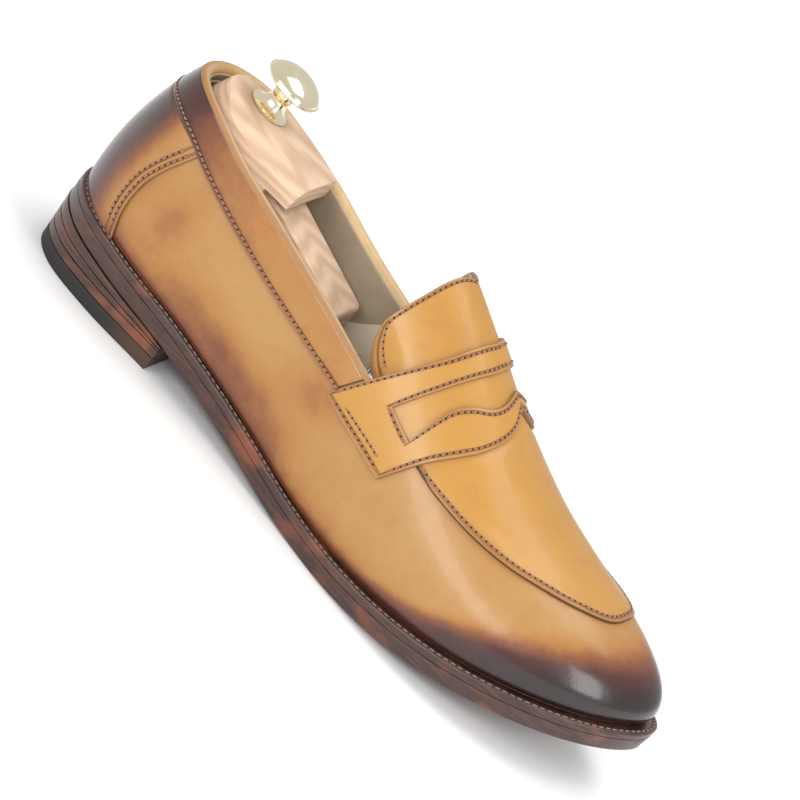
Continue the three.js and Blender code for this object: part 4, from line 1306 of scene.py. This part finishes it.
def lathe(name, profile, origin, tilt, look, body, nodes=(), turns=96):
    angles = np.linspace(0, 2 * math.pi, turns, endpoint=False)
    profile = np.asarray(profile, float)
    r, h = profile[:, 0][None], profile[:, 1][None]
    x, y = r * np.cos(angles)[:, None], r * np.sin(angles)[:, None]
    z = h + 0 * x
    points = np.stack([x * math.cos(tilt) + z * math.sin(tilt), y, z * math.cos(tilt) - x * math.sin(tilt)],
                      -1)
    return tube(name, points + np.array(origin), finish(look), nodes, body, ring=True, smooth_angle=45)


def rounded(points, per=6):
    """Catmull-Rom curve through profile points, for turned shapes."""
    p = np.asarray(points, float)
    p = np.vstack([2 * p[0] - p[1], p, 2 * p[-1] - p[-2]])
    out = []
    for k in range(1, len(p) - 2):
        for t in np.linspace(0, 1, per, endpoint=False):
            a, b, c, d = p[k - 1], p[k], p[k + 1], p[k + 2]
            out.append(0.5 * ((2 * b) + (c - a) * t + (2 * a - 5 * b + 4 * c - d) * t ** 2
                              + (3 * b - a - 3 * c + d) * t ** 3))
    out.append(p[-2])
    return np.array(out)


class LOAFER_OT_tree(bpy.types.Operator):
    """Build the wooden heel block, its arm and the rod with its spring, and give the toe blocks their wood
    finish
    """

    bl_idname = "loafer.tree"
    bl_label = "Shoe tree"

    def execute(self, context):
        crown = 90.5 + 0.12 * 70
        block = last_solid("wood_heel_block", -6.9)
        trim(block, [
            ((0, 0, 36), (0, 0, -1)),
            ((70, 0, 0), (1, 0, 0)),
            ((0, 0, crown), (0.12, 0, 1)),
            ((0, -12, crown), (0.12, -0.633, 1)),
            ((0, 26, crown), (0.12, 1.08, 1)),
        ])
        shifted = last_solid("wood_heel_reach", -6.9)
        shifted.data.transform(matrix_shift(-0.012))
        modified(block, "BOOLEAN", operation="INTERSECT", object=shifted, solver="EXACT")
        throat = prism("wood_heel_throat", [(59, 20), (90, 20), (90, 82), (59, 82)], -60, 60, "wood",
                       "tree_carriage", bevel=0)
        modified(block, "BOOLEAN", operation="DIFFERENCE", object=throat, solver="EXACT")
        for helper in (shifted, throat):
            bpy.data.objects.remove(helper)
        modified(block, "BEVEL", width=0.0011, segments=3, limit_method="ANGLE", angle_limit=math.radians(33))
        block.data.shade_smooth()
        block.data.set_sharp_from_angle(angle=math.radians(50))
        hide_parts("tree_heel_block")

        arm = [(34, 52), (34, 76), (60, 79.5), (108.5, 64.6), (110, 63), (110, 42), (60, 47)]
        prism("wood_arm", arm, -12, 12, "wood", "tree_carriage", ("tree_arm",), 1.1)

        def round_bar(name, x0, x1, z, radius, body, nodes, look="steel"):
            profile = [(x0, 0.02), (x0, radius - 0.5), (x0 + 0.5, radius), (x1 - 0.5, radius),
                       (x1, radius - 0.5),
                       (x1, 0.02)]
            angles = np.linspace(0, 2 * math.pi, 40, endpoint=False)
            points = [[(x, r * math.cos(a), z + r * math.sin(a)) for a in angles] for x, r in profile]
            tube(name, np.array(points), finish(look), nodes, body, smooth_angle=35)
        round_bar("steel_slide_rod", 84.0, 228.0, 50.0, 3.5, "tree_carriage", ("slide_rod",))

        t = np.linspace(0, 1, 9 * 28 + 1)
        angle = t * 9 * 2 * math.pi
        radius = 4.55
        start, length = 110.95, 53.1
        centres = np.stack([start + t * length, radius * np.cos(angle), 50 + radius * np.sin(angle)], 1)
        along = unit(np.gradient(centres, axis=0))
        out = np.stack([0 * t, np.cos(angle), np.sin(angle)], 1)
        side = unit(np.cross(along, out))
        circle = [(0.62 * math.cos(a), 0.62 * math.sin(a))
                  for a in np.linspace(0, 2 * math.pi, 12, endpoint=False)]
        swept("steel_slide_spring", centres, side, out, circle, finish("steel"), ("slide_spring",))
        dress(("tree_centre", "toe_block_outer", "toe_block_inner"), "wood")
        dress(("spread_pin_1", "spread_pin_2", "knob_stud"), "steel")
        dress(("arm_screw_1", "arm_screw_2"), "brass")
        return {"FINISHED"}


def matrix_shift(x):
    return Matrix.Translation((x, 0, 0))


class LOAFER_OT_knob(bpy.types.Operator):
    """Build the brass mushroom knob and its flared plate"""

    bl_idname = "loafer.knob"
    bl_label = "Brass knob"

    def execute(self, context):
        x, y = 34.5, 6.0
        origin = (x, y, 90.5 + (70 - x) * 0.12)
        tilt = math.atan(0.12)
        plate = np.vstack([
            [(2.9, 0.3), (8.2, 0.3), (8.45, 0.5), (8.5, 0.8), (8.3, 1.05)],
            rounded([(7.9, 1.15), (6.6, 1.7), (5.3, 3.0), (4.4, 4.9), (4.0, 6.6)], 5),
            [(4.15, 6.85), (4.15, 7.1), (3.9, 7.3), (2.9, 7.3)],
        ])
        lathe("brass_knob_plate", plate, origin, tilt, "brass", "tree_carriage", ("knob_plate",))
        head = np.vstack([
            [(0.02, 12.2), (2.9, 12.2), (2.9, 7.5)],
            [(4.2, 7.5), (4.5, 7.8), (4.5, 8.3), (4.1, 8.6)],
            rounded([(3.6, 9.0), (3.5, 9.9), (4.2, 11.2), (6.4, 12.4), (9.6, 13.0), (11.6, 13.25)], 5),
            [(12.2, 13.4), (12.5, 13.75), (12.5, 14.1), (12.3, 14.4), (11.9, 14.5), (11.75, 14.6)],
            rounded([(11.7, 14.8), (11.3, 15.6), (10.0, 16.9), (7.6, 18.3), (4.2, 19.3), (0.02, 19.65)], 7),
        ])
        lathe("brass_knob_head", head, origin, tilt, "brass", "tree_carriage", ("knob_head",))
        return {"FINISHED"}


# ---------------------------------------------------------------- stage

WORLD_STRENGTH = 0.72
FLOOR_REACH = 30.0  # metres from the shoe to the floor's edge
CAMERA_SENSOR = 36.0  # millimetres
CAMERA_LENS = 256.635  # millimetres
CAMERA_SHIFT = (0.0115, 0.03025)  # share of the sensor's width
CAMERA_TARGET = (150.0, 0.0, 45.0)  # millimetres, the middle of the shoe


def soft_light(name, place, target, size, power, colour=(1, 1, 1)):
    light = bpy.data.lights.new(name, "AREA")
    light.shape = "RECTANGLE"
    light.size, light.size_y = size
    light.energy = power
    light.color = colour
    obj = bpy.data.objects.new(name, light)
    bpy.context.scene.collection.objects.link(obj)
    obj.location = place
    obj.rotation_mode = "QUATERNION"
    obj.rotation_quaternion = (Vector(target) - Vector(place)).to_track_quat("-Z", "Y")
    return obj


class LOAFER_OT_stage(bpy.types.Operator):
    """Lay the pale floor, hang the soft lights and place the camera"""

    bl_idname = "loafer.stage"
    bl_label = "Floor, lights and camera"

    def execute(self, context):
        studio = context.scene.loafer_studio
        mesh = bpy.data.meshes.new("floor")
        r = FLOOR_REACH
        mesh.from_pydata([(-r, -r, 0), (r, -r, 0), (r, r, 0), (-r, r, 0)], [], [(0, 1, 2, 3)])
        floor = bpy.data.objects.new("floor", mesh)
        context.scene.collection.objects.link(floor)
        f = Finish("pale_floor", Specular_IOR_Level=0.2)
        haze = f.noise(f.position(), 300, 2.0)
        colour = f.mix(haze, tuple(0.99 * k for k in studio.floor), tuple(studio.floor))
        mesh.materials.append(f.paint(Base_Color=colour, Roughness=0.75 + haze * 0.05))

        world = context.scene.world or bpy.data.worlds.new("studio")
        context.scene.world = world
        world.use_nodes = True
        world.node_tree.nodes["Background"].inputs["Color"].default_value = (1, 1, 1, 1)
        world.node_tree.nodes["Background"].inputs["Strength"].default_value = WORLD_STRENGTH

        key, fill = studio.key_power, studio.fill_power
        soft_light("front_strip", (-0.25, -1.5, 0.85), (0.0, 0, 0.05), (1.7, 0.45), key)
        soft_light("overhead_softbox", (0.15, 0.25, 1.5), (0.0, 0, 0.04), (1.1, 0.8), fill)
        soft_light("toe_softbox", (1.3, -0.7, 0.7), (0.05, 0, 0.04), (0.45, 0.9), key * 0.4)

        d = Vector((-math.sin(studio.azimuth) * math.cos(studio.elevation),
                    math.cos(studio.azimuth) * math.cos(studio.elevation), -math.sin(studio.elevation)))
        right = Vector((math.cos(studio.azimuth), math.sin(studio.azimuth), 0))
        up = right.cross(d)
        r_axis = math.cos(studio.roll) * right + math.sin(studio.roll) * up
        u_axis = -math.sin(studio.roll) * right + math.cos(studio.roll) * up
        target = Vector(((np.array(CAMERA_TARGET) + ROW_SHIFT) / 1000).tolist())
        data = bpy.data.cameras.new("camera")
        data.sensor_width = CAMERA_SENSOR
        data.lens = CAMERA_LENS
        data.shift_x, data.shift_y = CAMERA_SHIFT
        data.clip_start, data.clip_end = 0.05, 100
        camera = bpy.data.objects.new("camera", data)
        context.scene.collection.objects.link(camera)
        basis = Matrix((r_axis, u_axis, -d)).transposed()
        camera.matrix_world = Matrix.Translation(target - d * studio.distance) @ basis.to_4x4()
        context.scene.camera = camera
        context.scene.view_settings.view_transform = "Standard"
        context.scene.view_settings.look = "None"
        return {"FINISHED"}


class LOAFER_PT_panel(bpy.types.Panel):
    """Lists the shoe's pieces and their settings"""

    bl_idname = "LOAFER_PT_panel"
    bl_label = "Penny Loafer"
    bl_space_type = "VIEW_3D"
    bl_region_type = "UI"
    bl_category = "Loafer"

    def draw(self, context):
        for group in ("loafer_colours", "loafer_sewing", "loafer_studio"):
            settings = getattr(context.scene, group)
            box = self.layout.box()
            for key in type(settings).__annotations__:
                box.prop(settings, key)
        for operator in OPERATORS:
            self.layout.operator(operator.bl_idname)


OPERATORS = (LOAFER_OT_sole, LOAFER_OT_heel, LOAFER_OT_lining, LOAFER_OT_vamp, LOAFER_OT_collar,
             LOAFER_OT_strap,
             LOAFER_OT_tongue, LOAFER_OT_tree, LOAFER_OT_knob, LOAFER_OT_stage)
CLASSES = (LoaferColours, LoaferSewing, StudioSettings, *OPERATORS, LOAFER_PT_panel)


def register():
    for cls in CLASSES:
        bpy.utils.register_class(cls)
    bpy.types.Scene.loafer_colours = bpy.props.PointerProperty(type=LoaferColours)
    bpy.types.Scene.loafer_sewing = bpy.props.PointerProperty(type=LoaferSewing)
    bpy.types.Scene.loafer_studio = bpy.props.PointerProperty(type=StudioSettings)


def unregister():
    del bpy.types.Scene.loafer_studio
    del bpy.types.Scene.loafer_sewing
    del bpy.types.Scene.loafer_colours
    for cls in reversed(CLASSES):
        bpy.utils.unregister_class(cls)


def main():
    register()
    for operator in OPERATORS:
        group, name = operator.bl_idname.split(".")
        getattr(getattr(bpy.ops, group), name)()


if __name__ == "__main__":
    main()
